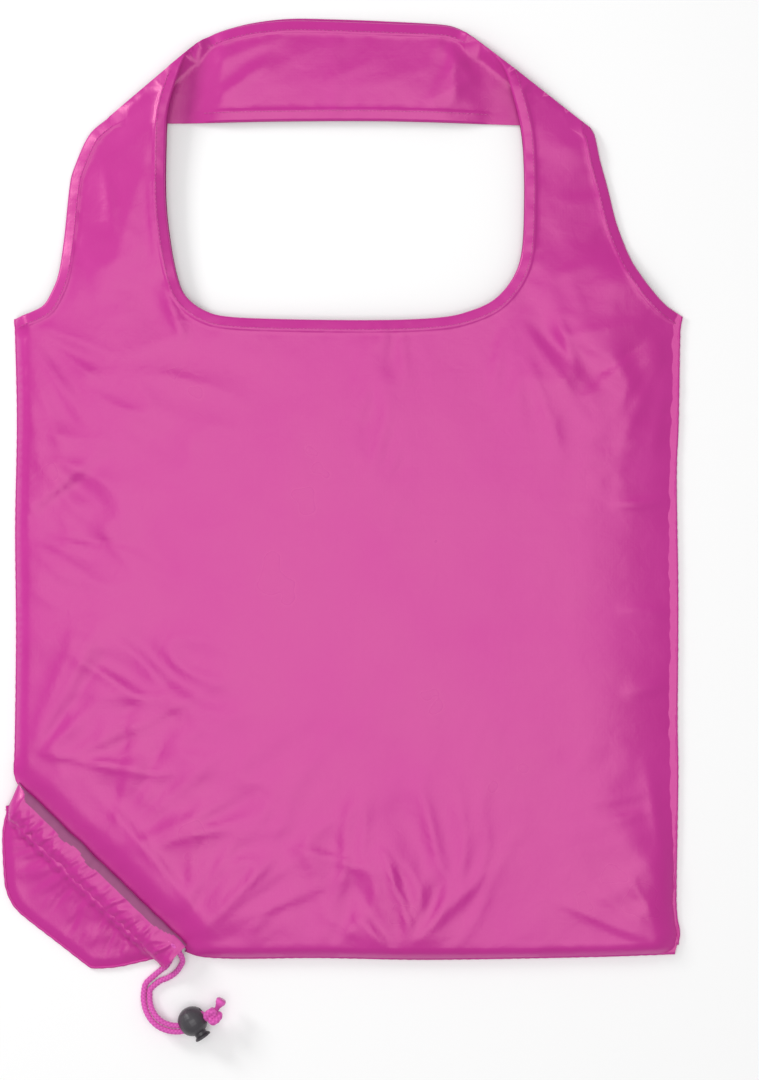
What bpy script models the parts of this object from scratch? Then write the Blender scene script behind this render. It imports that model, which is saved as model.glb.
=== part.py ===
"""Foldable shopping tote with a drawstring pouch at its lower left corner, laid flat.

The bag lies on its back: +X runs to the right, +Y towards the handles and +Z up from the
surface that it lies on. Every shape is drawn in bag coordinates, whose origin is the middle of
the handles' fold line, and ORIGIN then moves the whole bag to the centre of its own outline.
"""

import math

import bmesh
import bpy
from mathutils import Vector

MM = 0.001

# --- Driving dimensions ---------------------------------------------------------------------

BAG_WIDTH = 378 * MM
BODY_HEIGHT = 365 * MM
CLOTH = 0.8 * MM
LAYER_GAP = 0.4 * MM
FIT_GAP = 0.3 * MM
BAND_GAP = 4.8 * MM

WINDOW_WIDTH = 205 * MM
NECK_FLAT = 134 * MM
NECK_CORNER_RISE = 50 * MM
STRAP_WIDTH = 58 * MM
ARMHOLE_RISE = 46 * MM
SHOULDER_START = 60 * MM
SHOULDER_INSET = 23 * MM
INNER_FOLD_START = 108 * MM
INNER_FOLD_INSET = 23 * MM
BAND_BASE = 112 * MM
BAND_END_RISE = 46 * MM
BAND_ARCH = 10 * MM
BACK_HANDLE_EXTRA = 2 * MM
HANDLE_SEAM_WIDTH = 8 * MM
HANDLE_SEAM_INSET = 2 * MM

HEM_WIDTH = 7 * MM
HEM_THICKNESS = 0.5 * MM
SEAM_WIDTH = 3 * MM
SEAM_INSET = 0.8 * MM

POUCH_ANGLE = math.radians(-44)
POUCH_MOUTH = 132.5 * MM
POUCH_DEPTH = 53 * MM
POUCH_TOP_INSET = 2.5 * MM
POUCH_FOOT = 7 * MM
CASING_WIDTH = 16 * MM
CASING_WALL = 0.35 * MM
CASING_END = 8 * MM
CASING_ROUND = 1.2 * MM
CASING_SLANT = 5 * MM
FRONT_STRAND_DEPTH = 5 * MM
BACK_STRAND_DEPTH = 10 * MM
TONGUE_DEPTH = 38 * MM
TONGUE_SIDE_GAP = 9 * MM
RAMP = 30 * MM

CORD_DIAMETER = 3.1 * MM
CORD_PAIR_PITCH = CORD_DIAMETER + 0.4 * MM
CORD_CLEARANCE = 0.45 * MM
CORD_POINT_STEP = 6.6 * MM
BORE_CLEARANCE = 0.6 * MM

LOOP_RADIUS = 17.5 * MM
INNER_LOOP_START = math.radians(-195)
OUTER_LOOP_START = math.radians(-203)
LOOP_STEP = math.radians(13)
LOOP_LEVEL_END = math.radians(-122)
LOOP_FLOOR_START = math.radians(-190)
CORD_END_SHARE = 0.8

BALL_DIAMETER = 17 * MM
BALL_REST_ANGLE = math.radians(-56)
BORE_OFFSET = 1.5 * MM
FLOOR_GAP = 0.1 * MM
BARREL_DIAMETER = 7.8 * MM
BARREL_CLEARANCE = 0.3 * MM
BALL_WALL = 0.9 * MM
PLUNGER_STROKE = 1.8 * MM
PLUNGER_SEAT = 0.9 * MM
PLUNGER_HEAD_DIAMETER = 9.7 * MM
PLUNGER_HEAD_LENGTH = 2.1 * MM
PLUNGER_NECK_DIAMETER = 7.2 * MM
NOTCH_WIDTH = 2.4 * MM
NOTCH_DEPTH = 1.0 * MM
SPRING_WIRE = 0.45 * MM
SPRING_TURNS = 3
SPRING_END_GAP = 0.15 * MM

KNOT_LENGTH = 9.6 * MM
KNOT_WIDTH = 9 * MM
KNOT_HEIGHT = 8.4 * MM
KNOT_DIRECTION = math.radians(16)
KNOT_LIFT = 3 * MM
TAIL_DIRECTION = math.radians(61)
TAIL_LENGTH = 6.4 * MM
TAIL_WAIST = 3.6 * MM
TAIL_FLARE = 7.2 * MM

CURVE_STEPS = 9

# --- Levels of the stacked cloth, from the surface up ------------------------------------------

LAYER = CLOTH + LAYER_GAP
CASING_HEIGHT = CORD_DIAMETER + 2 * (CORD_CLEARANCE + CASING_WALL)
BACK_BAND_LEVEL = LAYER
FRONT_BAND_LEVEL = BACK_BAND_LEVEL + CLOTH + BAND_GAP
FRONT_LEVEL = FRONT_BAND_LEVEL + LAYER
BODY_THICKNESS = FRONT_LEVEL + CLOTH
TONGUE_BACK_LEVEL = CASING_HEIGHT + LAYER_GAP
TONGUE_FRONT_LEVEL = TONGUE_BACK_LEVEL + LAYER
FRONT_CASING_LEVEL = TONGUE_FRONT_LEVEL + LAYER
CASING_TOP = FRONT_CASING_LEVEL + CASING_HEIGHT
POUCH_FRONT_LEVEL = max(FRONT_CASING_LEVEL, FRONT_LEVEL)

HALF_WIDTH = BAG_WIDTH / 2
STRAP_IN = WINDOW_WIDTH / 2
STRAP_OUT = STRAP_IN + STRAP_WIDTH
HANDLE_RISE = BAND_BASE + BAND_END_RISE + BAND_ARCH + BACK_HANDLE_EXTRA

# --- Colours (linear) and finishes --------------------------------------------------------------

CLOTH_PINK = (0.686, 0.098, 0.361, 1)
CORD_PINK = (0.617, 0.048, 0.376, 1)
STOP_GREY = (0.044, 0.042, 0.047, 1)
SPRING_STEEL = (0.56, 0.57, 0.58, 1)


def material(name, colour, roughness, metallic=0.0):
    """Return a Principled material with the given colour and finish."""
    made = bpy.data.materials.new(name)
    made.use_nodes = True
    shader = made.node_tree.nodes["Principled BSDF"]
    shader.inputs["Base Color"].default_value = colour
    shader.inputs["Roughness"].default_value = roughness
    shader.inputs["Metallic"].default_value = metallic
    made.diffuse_color = colour
    return made


# --- The pouch's own axes: u along its mouth, w out over its depth -----------------------------

MOUTH = Vector((math.cos(POUCH_ANGLE), math.sin(POUCH_ANGLE)))
OUTWARD = Vector((MOUTH.y, -MOUTH.x))
POUCH_CORNER = Vector((
    -HALF_WIDTH + POUCH_TOP_INSET,
    -BODY_HEIGHT + POUCH_FOOT - POUCH_MOUTH * MOUTH.y,
))
CASING_EXIT = POUCH_CORNER + POUCH_MOUTH * MOUTH


def pouch_point(u, w):
    """Return the bag coordinates of a point on the pouch's axes."""
    return POUCH_CORNER + u * MOUTH + w * OUTWARD


def pouch_depth(x, y):
    """Return how far a point lies past the pouch's mouth line."""
    return (Vector((x, y)) - POUCH_CORNER).dot(OUTWARD)


def pouch_sides():
    """Return the pouch's outline as (u, w) points, from its left end round to its right end."""
    mouth, depth = POUCH_MOUTH, POUCH_DEPTH
    return [
        (0.012 * mouth, 0.22 * depth),
        (0.055 * mouth, 0.40 * depth),
        (0.12 * mouth, 0.57 * depth),
        (0.23 * mouth, 0.83 * depth),
        (0.29 * mouth, 0.94 * depth),
        (0.36 * mouth, 1.00 * depth),
        (0.45 * mouth, 0.99 * depth),
        (0.775 * mouth, 0.89 * depth),
        (0.90 * mouth, 0.50 * depth),
        (0.965 * mouth, 0.25 * depth),
    ]


def side_at(points, w):
    """Return u where the straight pieces between the outline's points reach depth w."""
    for (u0, w0), (u1, w1) in zip(points, points[1:]):
        if min(w0, w1) <= w <= max(w0, w1):
            return u0 + (u1 - u0) * (w - w0) / (w1 - w0)
    return points[0][0]


def pouch_edge(start):
    """Return the outline's (u, w) points that lie deeper than start, closed off at start."""
    sides = pouch_sides()
    deepest = max(range(len(sides)), key=lambda index: sides[index][1])
    left = side_at(sides[:deepest + 1], start)
    right = side_at(sides[deepest:], start)
    inner = [point for point in sides if point[1] > start + FIT_GAP]
    return [(left, start)] + inner + [(right, start)]


LOWEST_POUCH = min(pouch_point(u, w).y for u, w in pouch_sides())
LEFTMOST_POUCH = min(pouch_point(u, w).x for u, w in pouch_sides())
ORIGIN = Vector((
    -(LEFTMOST_POUCH + HALF_WIDTH) / 2,
    -(LOWEST_POUCH + HANDLE_RISE) / 2,
    0,
))

# --- The cord's loop and the stop that slides round it ----------------------------------------

LOOP_CENTRE = CASING_EXIT + Vector((-5.55 * MM, -29.9 * MM))
BALL_RADIUS = BALL_DIAMETER / 2
STOP_LEVEL = BALL_RADIUS + FLOOR_GAP
CORD_FLOOR_LEVEL = CORD_DIAMETER / 2 + FLOOR_GAP
STOP_AXIS = Vector((math.cos(BALL_REST_ANGLE), math.sin(BALL_REST_ANGLE), 0))
STOP_CENTRE = Vector((*LOOP_CENTRE, STOP_LEVEL)) + (LOOP_RADIUS - BORE_OFFSET) * STOP_AXIS
BALL_HALF_ANGLE = math.asin(BALL_RADIUS / LOOP_RADIUS)
PAIR_HALF_WIDTH = (CORD_PAIR_PITCH + CORD_DIAMETER) / 2


def mesh_object(name, mesh, finish, pivot):
    """Put a mesh drawn in bag coordinates in the scene, with its origin at the pivot."""
    for vertex in mesh.vertices:
        vertex.co -= pivot
    made = bpy.data.objects.new(name, mesh)
    made.location = pivot + ORIGIN
    made.data.materials.clear()
    made.data.materials.append(finish)
    bpy.context.scene.collection.objects.link(made)
    return made


def finish_mesh(bm, name):
    """Turn a bmesh with consistent outward faces into a mesh."""
    bmesh.ops.recalc_face_normals(bm, faces=bm.faces[:])
    if bm.calc_volume(signed=True) < 0:
        bmesh.ops.reverse_faces(bm, faces=bm.faces[:])
    mesh = bpy.data.meshes.new(name)
    bm.to_mesh(mesh)
    bm.free()
    return mesh


def apply_booleans(made, cutters, operation="DIFFERENCE"):
    """Cut or join other objects' shapes with an object, by exact Boolean modifiers."""
    for cutter in cutters:
        boolean = made.modifiers.new(cutter.name, "BOOLEAN")
        boolean.operation = operation
        boolean.solver = "EXACT"
        boolean.object = cutter
        cutter.hide_render = True
        cutter.display_type = "WIRE"


def ellipse_quarter(start, end, leaves_along_x):
    """Return points on the quarter ellipse between two corners, leaving the start along x or y."""
    points = []
    for step in range(CURVE_STEPS + 1):
        angle = math.pi / 2 * step / CURVE_STEPS
        early, late = math.sin(angle), 1 - math.cos(angle)
        along_x, along_y = (early, late) if leaves_along_x else (late, early)
        points.append(Vector((
            start[0] + (end[0] - start[0]) * along_x,
            start[1] + (end[1] - start[1]) * along_y,
        )))
    return points


# --- Flat cloth ---------------------------------------------------------------------------------


def slab(name, outline, low, high, finish, cuts=(), pivot=Vector()):
    """Make a closed sheet over an outline, between two heights given as functions of (x, y).

    Each cut is a depth past the pouch's mouth where the sheet may bend.
    """
    bm = bmesh.new()
    bm.faces.new([bm.verts.new((x, y, 0)) for x, y in outline])
    for depth in cuts:
        bmesh.ops.bisect_plane(
            bm,
            geom=bm.verts[:] + bm.edges[:] + bm.faces[:],
            plane_co=(*pouch_point(0, depth), 0),
            plane_no=(*OUTWARD, 0),
        )
    extruded = bmesh.ops.extrude_face_region(bm, geom=bm.faces[:])
    raised = {item for item in extruded["geom"] if isinstance(item, bmesh.types.BMVert)}
    for vertex in bm.verts:
        height = high if vertex in raised else low
        vertex.co.z = height(vertex.co.x, vertex.co.y)
    return mesh_object(name, finish_mesh(bm, name), finish, pivot)


def level(height):
    """Return a height function that is the same everywhere."""
    return lambda x, y: height


def ramp(far, near):
    """Return a height that eases from far to near as the cloth comes up to the pouch's mouth."""
    def height(x, y):
        share = min(max(1 + pouch_depth(x, y) / RAMP, 0), 1)
        return far + (near - far) * share * share * (3 - 2 * share)
    return height


def raised(height, rise):
    """Return a height function lifted by rise."""
    return lambda x, y: height(x, y) + rise


def tongue_outline():
    """Return the corner of the bag that is gathered into the pouch, as (u, w) points."""
    sides = pouch_edge(CASING_WIDTH)
    deepest = max(range(len(sides)), key=lambda index: sides[index][1])
    left, right = sides[:deepest + 1], sides[deepest:]
    middle = (CASING_WIDTH + TONGUE_DEPTH) / 2
    narrow = TONGUE_SIDE_GAP
    return [
        (CASING_END + 3 * FIT_GAP, 0),
        (max(CASING_END + 3 * FIT_GAP, side_at(left, CASING_WIDTH) + narrow), CASING_WIDTH),
        (side_at(left, middle) + narrow, middle),
        (side_at(left, TONGUE_DEPTH) + narrow, TONGUE_DEPTH),
        (side_at(right, TONGUE_DEPTH) - narrow, TONGUE_DEPTH),
        (side_at(right, middle) - narrow, middle),
        (POUCH_MOUTH - TONGUE_SIDE_GAP, 0),
    ]


def panel_outline():
    """Return the outline that both panels share below the handles' fold line."""
    beside_casing = pouch_point(POUCH_MOUTH + 4 * MM, -3 * MM)
    tongue = [pouch_point(u, w) for u, w in tongue_outline()]
    mouth_start = pouch_point(0, -1 * MM)
    return [
        (-HALF_WIDTH, -FIT_GAP),
        (-HALF_WIDTH, mouth_start.y + 2 * MM),
        mouth_start,
        *tongue,
        beside_casing,
        (beside_casing.x, -BODY_HEIGHT),
        (HALF_WIDTH, -BODY_HEIGHT),
        (HALF_WIDTH, -FIT_GAP),
    ]


def panels(cloth):
    """Make the front and back panels, which close up to each other at the pouch's mouth."""
    cuts = [-RAMP * step / 6 for step in range(7)]
    for name, far, near in (
        ("back_panel", 0, TONGUE_BACK_LEVEL),
        ("front_panel", FRONT_LEVEL, TONGUE_FRONT_LEVEL),
    ):
        under = ramp(far, near)
        slab(name, panel_outline(), under, raised(under, CLOTH), cloth, cuts)


def box_outline(x0, x1, y0, y1):
    """Return the corners of a rectangle."""
    return [(x0, y0), (x1, y0), (x1, y1), (x0, y1)]


def seams(cloth):
    """Make the sewn edges that hold the two panels together, up to the pouch's ramp."""
    low = level(CLOTH + FIT_GAP)
    high = level(FRONT_LEVEL - FIT_GAP)
    outer, inner = HALF_WIDTH - SEAM_INSET, HALF_WIDTH - SEAM_INSET - SEAM_WIDTH
    left_foot = POUCH_CORNER.y + (RAMP + POUCH_TOP_INSET * OUTWARD.x) / -OUTWARD.y + FIT_GAP
    bottom = -BODY_HEIGHT + SEAM_INSET
    bottom_fall = (CASING_EXIT.y - bottom) * -OUTWARD.y
    bottom_start = CASING_EXIT.x + (RAMP + bottom_fall) / -OUTWARD.x + FIT_GAP
    for name, outline in (
        ("side_seam_left", box_outline(-outer, -inner, left_foot, -FIT_GAP)),
        ("side_seam_right", box_outline(inner, outer, bottom, -FIT_GAP)),
        ("bottom_seam", box_outline(bottom_start, inner - FIT_GAP, bottom, bottom + SEAM_WIDTH)),
    ):
        slab(name, outline, low, high, cloth)


def neck_hems(cloth):
    """Make the turned and stitched hem along each panel's free edge between the straps."""
    half = NECK_FLAT / 2 - FIT_GAP
    outline = box_outline(-half, half, -HEM_WIDTH, -FIT_GAP)
    for name, under in (
        ("front_neck_hem", BODY_THICKNESS + FIT_GAP),
        ("back_neck_hem", CLOTH + FIT_GAP),
    ):
        slab(name, outline, level(under), level(under + HEM_THICKNESS), cloth)


# --- Handles ------------------------------------------------------------------------------------


def handle_edges(extra):
    """Return the outer and inner edges of a right half handle, from its root to the middle.

    The strap rises from the fold line at the body, turns over along a diagonal crease and runs
    to the middle as the band. Returns each edge's points and how many of them are the strap's.
    """
    crease_out = (STRAP_OUT - SHOULDER_INSET, BAND_BASE + 1.5 * MM)
    crease_in = (STRAP_IN - INNER_FOLD_INSET, BAND_BASE + BAND_END_RISE)
    outer = ellipse_quarter((HALF_WIDTH, FIT_GAP), (STRAP_OUT, ARMHOLE_RISE), True)
    outer += ellipse_quarter((STRAP_OUT, SHOULDER_START), crease_out, False)
    inner = ellipse_quarter((NECK_FLAT / 2, FIT_GAP), (STRAP_IN, NECK_CORNER_RISE), True)
    inner += ellipse_quarter((STRAP_IN, INNER_FOLD_START), crease_in, False)
    strap = len(outer)
    for step in range(1, CURVE_STEPS + 1):
        share = step / CURVE_STEPS
        across = crease_in[0] * (1 - share)
        arch = (BAND_ARCH + extra) * (1 - (across / crease_in[0]) ** 2)
        foot = crease_out[1] + (BAND_BASE - crease_out[1]) * share
        outer.append(Vector((crease_out[0] * (1 - share), foot)))
        inner.append(Vector((across, crease_in[1] + arch)))
    return outer, inner, strap


def half_handle(name, side, front, cloth, pivot):
    """Make one half of a handle: a strip of cloth folded over along its diagonal crease."""
    extra = 0 if front else BACK_HANDLE_EXTRA
    outer, inner, strap = handle_edges(extra)
    crease = (inner[strap - 1] - outer[strap - 1]).normalized()
    away = Vector((-crease.y, crease.x)) * (1 if crease.x < 0 else -1)
    away = away if away.y > 0 else -away
    rows = []
    for index, (out, inn) in enumerate(zip(outer, inner)):
        on_strap = index < strap
        upper, lower = (CLOTH, 0) if on_strap else (-LAYER, CLOTH - LAYER)
        rows.append((out, inn, upper, out, inn, lower))
        if index == strap - 1:
            turn = away * CLOTH * 1.2
            slack = away * LAYER_GAP * 0.4
            middle = (2 * CLOTH - LAYER - CLOTH) / 2
            rows.append((out + turn, inn + turn, middle, out + slack, inn + slack, middle))
            rows.append((out, inn, -LAYER, out, inn, CLOTH - LAYER))
    seam_edge = Vector((FIT_GAP / 2, 0))
    rows[-1] = tuple(item + seam_edge if isinstance(item, Vector) else item for item in rows[-1])
    bm = bmesh.new()
    rings = []
    for a_out, a_in, a_z, b_out, b_in, b_z in rows:
        ring = []
        for point, height in ((a_out, a_z), (a_in, a_z), (b_in, b_z), (b_out, b_z)):
            z = FRONT_LEVEL + height if front else CLOTH - height
            ring.append(bm.verts.new((side * point.x, point.y, z)))
        rings.append(ring)
    for near, far in zip(rings, rings[1:]):
        for index in range(4):
            after = (index + 1) % 4
            bm.faces.new((near[index], near[after], far[after], far[index]))
    bm.faces.new(rings[0])
    bm.faces.new(rings[-1])
    return mesh_object(name, finish_mesh(bm, name), cloth, pivot)


def handle(prefix, front, cloth):
    """Make one handle: two halves sewn together in the middle, with its origin on its hinge."""
    pivot = Vector((0, 0, BODY_THICKNESS + FIT_GAP if front else -FIT_GAP))
    half_handle(prefix + "_handle_left", -1, front, cloth, pivot)
    half_handle(prefix + "_handle_right", 1, front, cloth, pivot)
    front_under = FRONT_BAND_LEVEL + CLOTH + FIT_GAP
    back_under = BACK_BAND_LEVEL - FIT_GAP - HEM_THICKNESS
    under = front_under if front else back_under
    foot = BAND_BASE + HANDLE_SEAM_INSET
    head = BAND_BASE + BAND_END_RISE + BAND_ARCH - HANDLE_SEAM_INSET
    half = HANDLE_SEAM_WIDTH / 2
    outline = box_outline(-half, half, foot, head)
    slab(prefix + "_handle_seam", outline, level(under), level(under + HEM_THICKNESS), cloth, (), pivot)


# --- Pouch --------------------------------------------------------------------------------------


def pouch_walls(cloth):
    """Make the pouch's front and back cloths, below its drawstring casing."""
    outline = [pouch_point(u, w) for u, w in pouch_edge(CASING_WIDTH + FIT_GAP)]
    slab("pouch_back", outline, level(0), level(CLOTH), cloth)
    front = level(POUCH_FRONT_LEVEL)
    slab("pouch_front", outline, front, raised(front, CLOTH), cloth)


def inset_point(before, here, after, distance):
    """Return a point moved in from a clockwise (u, w) outline by a distance."""
    along = ((here - before).normalized() + (after - here).normalized()).normalized()
    return here + Vector((along.y, -along.x)) * distance


def pouch_seam(cloth):
    """Make the sewn edge that joins the pouch's two cloths, as a narrow wall between them."""
    start = CASING_WIDTH + FIT_GAP
    edge = [Vector(point) for point in pouch_edge(start)]
    outer, inner = [], []
    for index, here in enumerate(edge):
        before = edge[max(index - 1, 0)]
        after = edge[min(index + 1, len(edge) - 1)]
        if index == 0:
            before = here + Vector((0, -1))
        if index == len(edge) - 1:
            after = here + Vector((0, -1))
        outer.append(inset_point(before, here, after, SEAM_INSET / 2))
        inner.append(inset_point(before, here, after, SEAM_INSET / 2 + SEAM_WIDTH / 2))
    outline = [pouch_point(u, max(w, start)) for u, w in outer + inner[::-1]]
    low, high = level(CLOTH + FIT_GAP), level(POUCH_FRONT_LEVEL - FIT_GAP)
    slab("pouch_seam", outline, low, high, cloth)


def casing_block(cloth):
    """Make the casing's C shape: front leg, back leg and the turn that joins them."""
    profile = [
        (0, 0),
        (POUCH_MOUTH, 0),
        (POUCH_MOUTH, CASING_HEIGHT),
        (CASING_END, CASING_HEIGHT),
        (CASING_END, FRONT_CASING_LEVEL),
        (POUCH_MOUTH, FRONT_CASING_LEVEL),
        (POUCH_MOUTH, CASING_TOP),
        (0, CASING_TOP),
    ]
    bm = bmesh.new()
    face = bm.faces.new([bm.verts.new((*pouch_point(u, 0), z)) for u, z in profile])
    extruded = bmesh.ops.extrude_face_region(bm, geom=[face])
    moved = [item for item in extruded["geom"] if isinstance(item, bmesh.types.BMVert)]
    bmesh.ops.translate(bm, verts=moved, vec=(*(OUTWARD * CASING_WIDTH), 0))
    slant = Vector((*(MOUTH * CASING_SLANT), 0))
    bmesh.ops.translate(bm, verts=[vertex for vertex in moved if at_left_end(vertex)], vec=slant)
    long_edges = [edge for edge in bm.edges if is_top_edge(edge)]
    bmesh.ops.bevel(bm, geom=long_edges, offset=CASING_ROUND, segments=3, profile=0.5, affect="EDGES")
    return mesh_object("pouch_casing", finish_mesh(bm, "pouch_casing"), cloth, Vector())


def at_left_end(vertex):
    """Tell whether a vertex of the casing lies at its left end."""
    return (vertex.co.to_2d() - POUCH_CORNER).dot(MOUTH) < CASING_END / 2


def is_top_edge(edge):
    """Tell whether an edge runs along the casing's top, on either side."""
    first, second = (vertex.co for vertex in edge.verts)
    along = (second - first).to_2d()
    on_top = min(first.z, second.z) > CASING_TOP - FIT_GAP
    return on_top and abs(along.dot(MOUTH)) > POUCH_MOUTH / 2


# --- Cord ---------------------------------------------------------------------------------------


def exit_point(x, y, z):
    """Return a point of the cord's route, measured from where the casing's mouth line ends."""
    return Vector((CASING_EXIT.x + x * MM, CASING_EXIT.y + y * MM, z))


def loop_point(angle, radius, z):
    """Return a point on the loop that the stop slides round."""
    return Vector((
        LOOP_CENTRE.x + radius * math.cos(angle),
        LOOP_CENTRE.y + radius * math.sin(angle),
        z,
    ))


def loop_level(angle):
    """Return the cord's height on the loop: level with the stop, then down to the surface."""
    share = (LOOP_LEVEL_END - angle) / (LOOP_LEVEL_END - LOOP_FLOOR_START)
    share = min(max(share, 0), 1)
    return STOP_LEVEL + (CORD_FLOOR_LEVEL - STOP_LEVEL) * share * share * (3 - 2 * share)


def loop_points(radius, start):
    """Return the loop's points from inside the knot's end of the stop back to the loop's start."""
    first = BALL_REST_ANGLE + CORD_END_SHARE * BALL_HALF_ANGLE
    count = round((first - start) / LOOP_STEP)
    step = (first - start) / count
    angles = [first - index * step for index in range(count + 1)]
    return [loop_point(angle, radius, loop_level(angle)) for angle in angles]


def casing_points(depth, z):
    """Return points along one leg of the casing, from its exit to its left end."""
    return [Vector((*pouch_point(POUCH_MOUTH * share, depth), z)) for share in (0.98, 0.75, 0.5, 0.25, 0.11)]


def cord_route():
    """Return the whole cord's route: knot, loop, front casing, turn, back casing, loop, knot."""
    front = FRONT_CASING_LEVEL + CASING_HEIGHT / 2
    back = CASING_HEIGHT / 2
    middle = (front + back) / 2
    turn = [
        (8.6, 5.0, front * 0.93 + back * 0.07),
        (6.4, 6.2, front * 0.75 + back * 0.25),
        (5.4, 7.5, middle),
        (6.4, 8.8, front * 0.25 + back * 0.75),
        (8.6, 10.0, front * 0.07 + back * 0.93),
    ]
    front_out = [
        exit_point(-15.6, -21.3, CORD_FLOOR_LEVEL),
        exit_point(-11.0, -19.4, CORD_FLOOR_LEVEL + 0.2 * MM),
        exit_point(-6.6, -16.4, CORD_FLOOR_LEVEL + 1.2 * MM),
        exit_point(-3.6, -12.4, CORD_FLOOR_LEVEL + 3.2 * MM),
        exit_point(-2.2, -8.0, front - 2.4 * MM),
    ]
    back_out = [
        exit_point(-18.8, -18.2, CORD_FLOOR_LEVEL),
        exit_point(-14.8, -14.8, CORD_FLOOR_LEVEL + 0.1 * MM),
        exit_point(-11.2, -11.8, CORD_FLOOR_LEVEL + 0.3 * MM),
    ]
    inner = loop_points(LOOP_RADIUS - CORD_PAIR_PITCH / 2, INNER_LOOP_START)
    outer = loop_points(LOOP_RADIUS + CORD_PAIR_PITCH / 2, OUTER_LOOP_START)
    return (
        inner
        + front_out
        + casing_points(FRONT_STRAND_DEPTH, front)
        + [Vector((*pouch_point(u * MM, w * MM), z)) for u, w, z in turn]
        + casing_points(BACK_STRAND_DEPTH, back)[::-1]
        + back_out[::-1]
        + outer[::-1]
    )


def smooth_points(route, step):
    """Return evenly spaced points on the smooth curve through a route's points."""
    padded = [2 * route[0] - route[1]] + route + [2 * route[-1] - route[-2]]
    fine = []
    for p0, p1, p2, p3 in zip(padded, padded[1:], padded[2:], padded[3:]):
        for part in range(12):
            t = part / 12
            fine.append(0.5 * (
                2 * p1
                + (p2 - p0) * t
                + (2 * p0 - 5 * p1 + 4 * p2 - p3) * t * t
                + (3 * p1 - p0 - 3 * p2 + p3) * t * t * t
            ))
    fine.append(route[-1])
    reach = [0.0]
    for near, far in zip(fine, fine[1:]):
        reach.append(reach[-1] + (far - near).length)
    count = round(reach[-1] / step)
    points, index = [], 0
    for number in range(count + 1):
        target = min(reach[-1] * number / count, reach[-1])
        while index < len(reach) - 2 and reach[index + 1] < target:
            index += 1
        share = (target - reach[index]) / (reach[index + 1] - reach[index])
        points.append(fine[index].lerp(fine[index + 1], share))
    return points


def tube(name, points, radius, finish, resolution=2, pivot=Vector()):
    """Make a round tube with filled ends through points given in bag coordinates."""
    curve = bpy.data.curves.new(name, "CURVE")
    curve.dimensions = "3D"
    curve.bevel_depth = radius
    curve.bevel_resolution = resolution
    curve.use_fill_caps = True
    spline = curve.splines.new("POLY")
    spline.points.add(len(points) - 1)
    for slot, point in zip(spline.points, points):
        slot.co = (*(point - pivot), 1)
        slot.radius = 1
    spline.use_smooth = True
    curve.materials.append(finish)
    made = bpy.data.objects.new(name, curve)
    made.location = pivot + ORIGIN
    bpy.context.scene.collection.objects.link(made)
    return made


def as_mesh(curve_object, name):
    """Replace a curve object by a mesh object of the same shape and place."""
    made = bpy.data.objects.new(name, bpy.data.meshes.new_from_object(curve_object))
    made.location = curve_object.location
    bpy.context.scene.collection.objects.link(made)
    bpy.data.objects.remove(curve_object)
    return made


def pouch_casing_and_cord(cloth, cord):
    """Make the casing with the channel that the cord runs in, and the cord itself."""
    points = smooth_points(cord_route(), CORD_POINT_STEP)
    casing = casing_block(cloth)
    channel = tube("cord_channel_guide", points, CORD_DIAMETER / 2 + CORD_CLEARANCE, cloth)
    apply_booleans(casing, [as_mesh(channel, "cord_channel_cutter")])
    tube("drawcord", points, CORD_DIAMETER / 2, cord)


# --- Turned pieces ------------------------------------------------------------------------------


def turned(name, profile, centre, axis, finish, segments=32):
    """Turn a profile of (distance along the axis, radius) points into a closed solid."""
    along = axis.normalized()
    side = along.orthogonal().normalized()
    other = along.cross(side)
    bm = bmesh.new()
    rings = []
    for distance, radius in profile:
        if radius == 0:
            rings.append([bm.verts.new(centre + along * distance)])
            continue
        ring = []
        for index in range(segments):
            angle = 2 * math.pi * index / segments
            spoke = side * math.cos(angle) + other * math.sin(angle)
            ring.append(bm.verts.new(centre + along * distance + spoke * radius))
        rings.append(ring)
    for near, far in zip(rings, rings[1:]):
        for index in range(segments):
            after = (index + 1) % segments
            corners = [near[index % len(near)], near[after % len(near)]]
            corners += [far[after % len(far)], far[index % len(far)]]
            corners = list(dict.fromkeys(corners))
            bm.faces.new(corners)
    for ring in (rings[0], rings[-1]):
        if len(ring) > 1:
            bm.faces.new(ring)
    mesh = finish_mesh(bm, name)
    mesh.shade_smooth()
    mesh.set_sharp_from_angle(angle=math.radians(40))
    return mesh_object(name, mesh, finish, centre)


def round_profile(start, end, radius_at, steps):
    """Return a turned profile between two stations, with its radius given by a function."""
    stations = [start + (end - start) * (1 - math.cos(math.pi * n / steps)) / 2 for n in range(steps + 1)]
    return [(station, radius_at(station)) for station in stations]


def ball_radius_at(station):
    """Return the ball's radius at a distance from its centre."""
    return math.sqrt(max(BALL_RADIUS ** 2 - station ** 2, 0))


def block(name, centre, axes, size, finish):
    """Make a box from its centre, its three unit axes and its three full sizes."""
    bm = bmesh.new()
    bmesh.ops.create_cube(bm, size=1)
    for vertex in bm.verts:
        corner = vertex.co.copy()
        vertex.co = centre + sum((axes[n] * corner[n] * size[n] for n in range(3)), Vector())
    return mesh_object(name, finish_mesh(bm, name), finish, centre)


# --- Cord stop ----------------------------------------------------------------------------------

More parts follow.
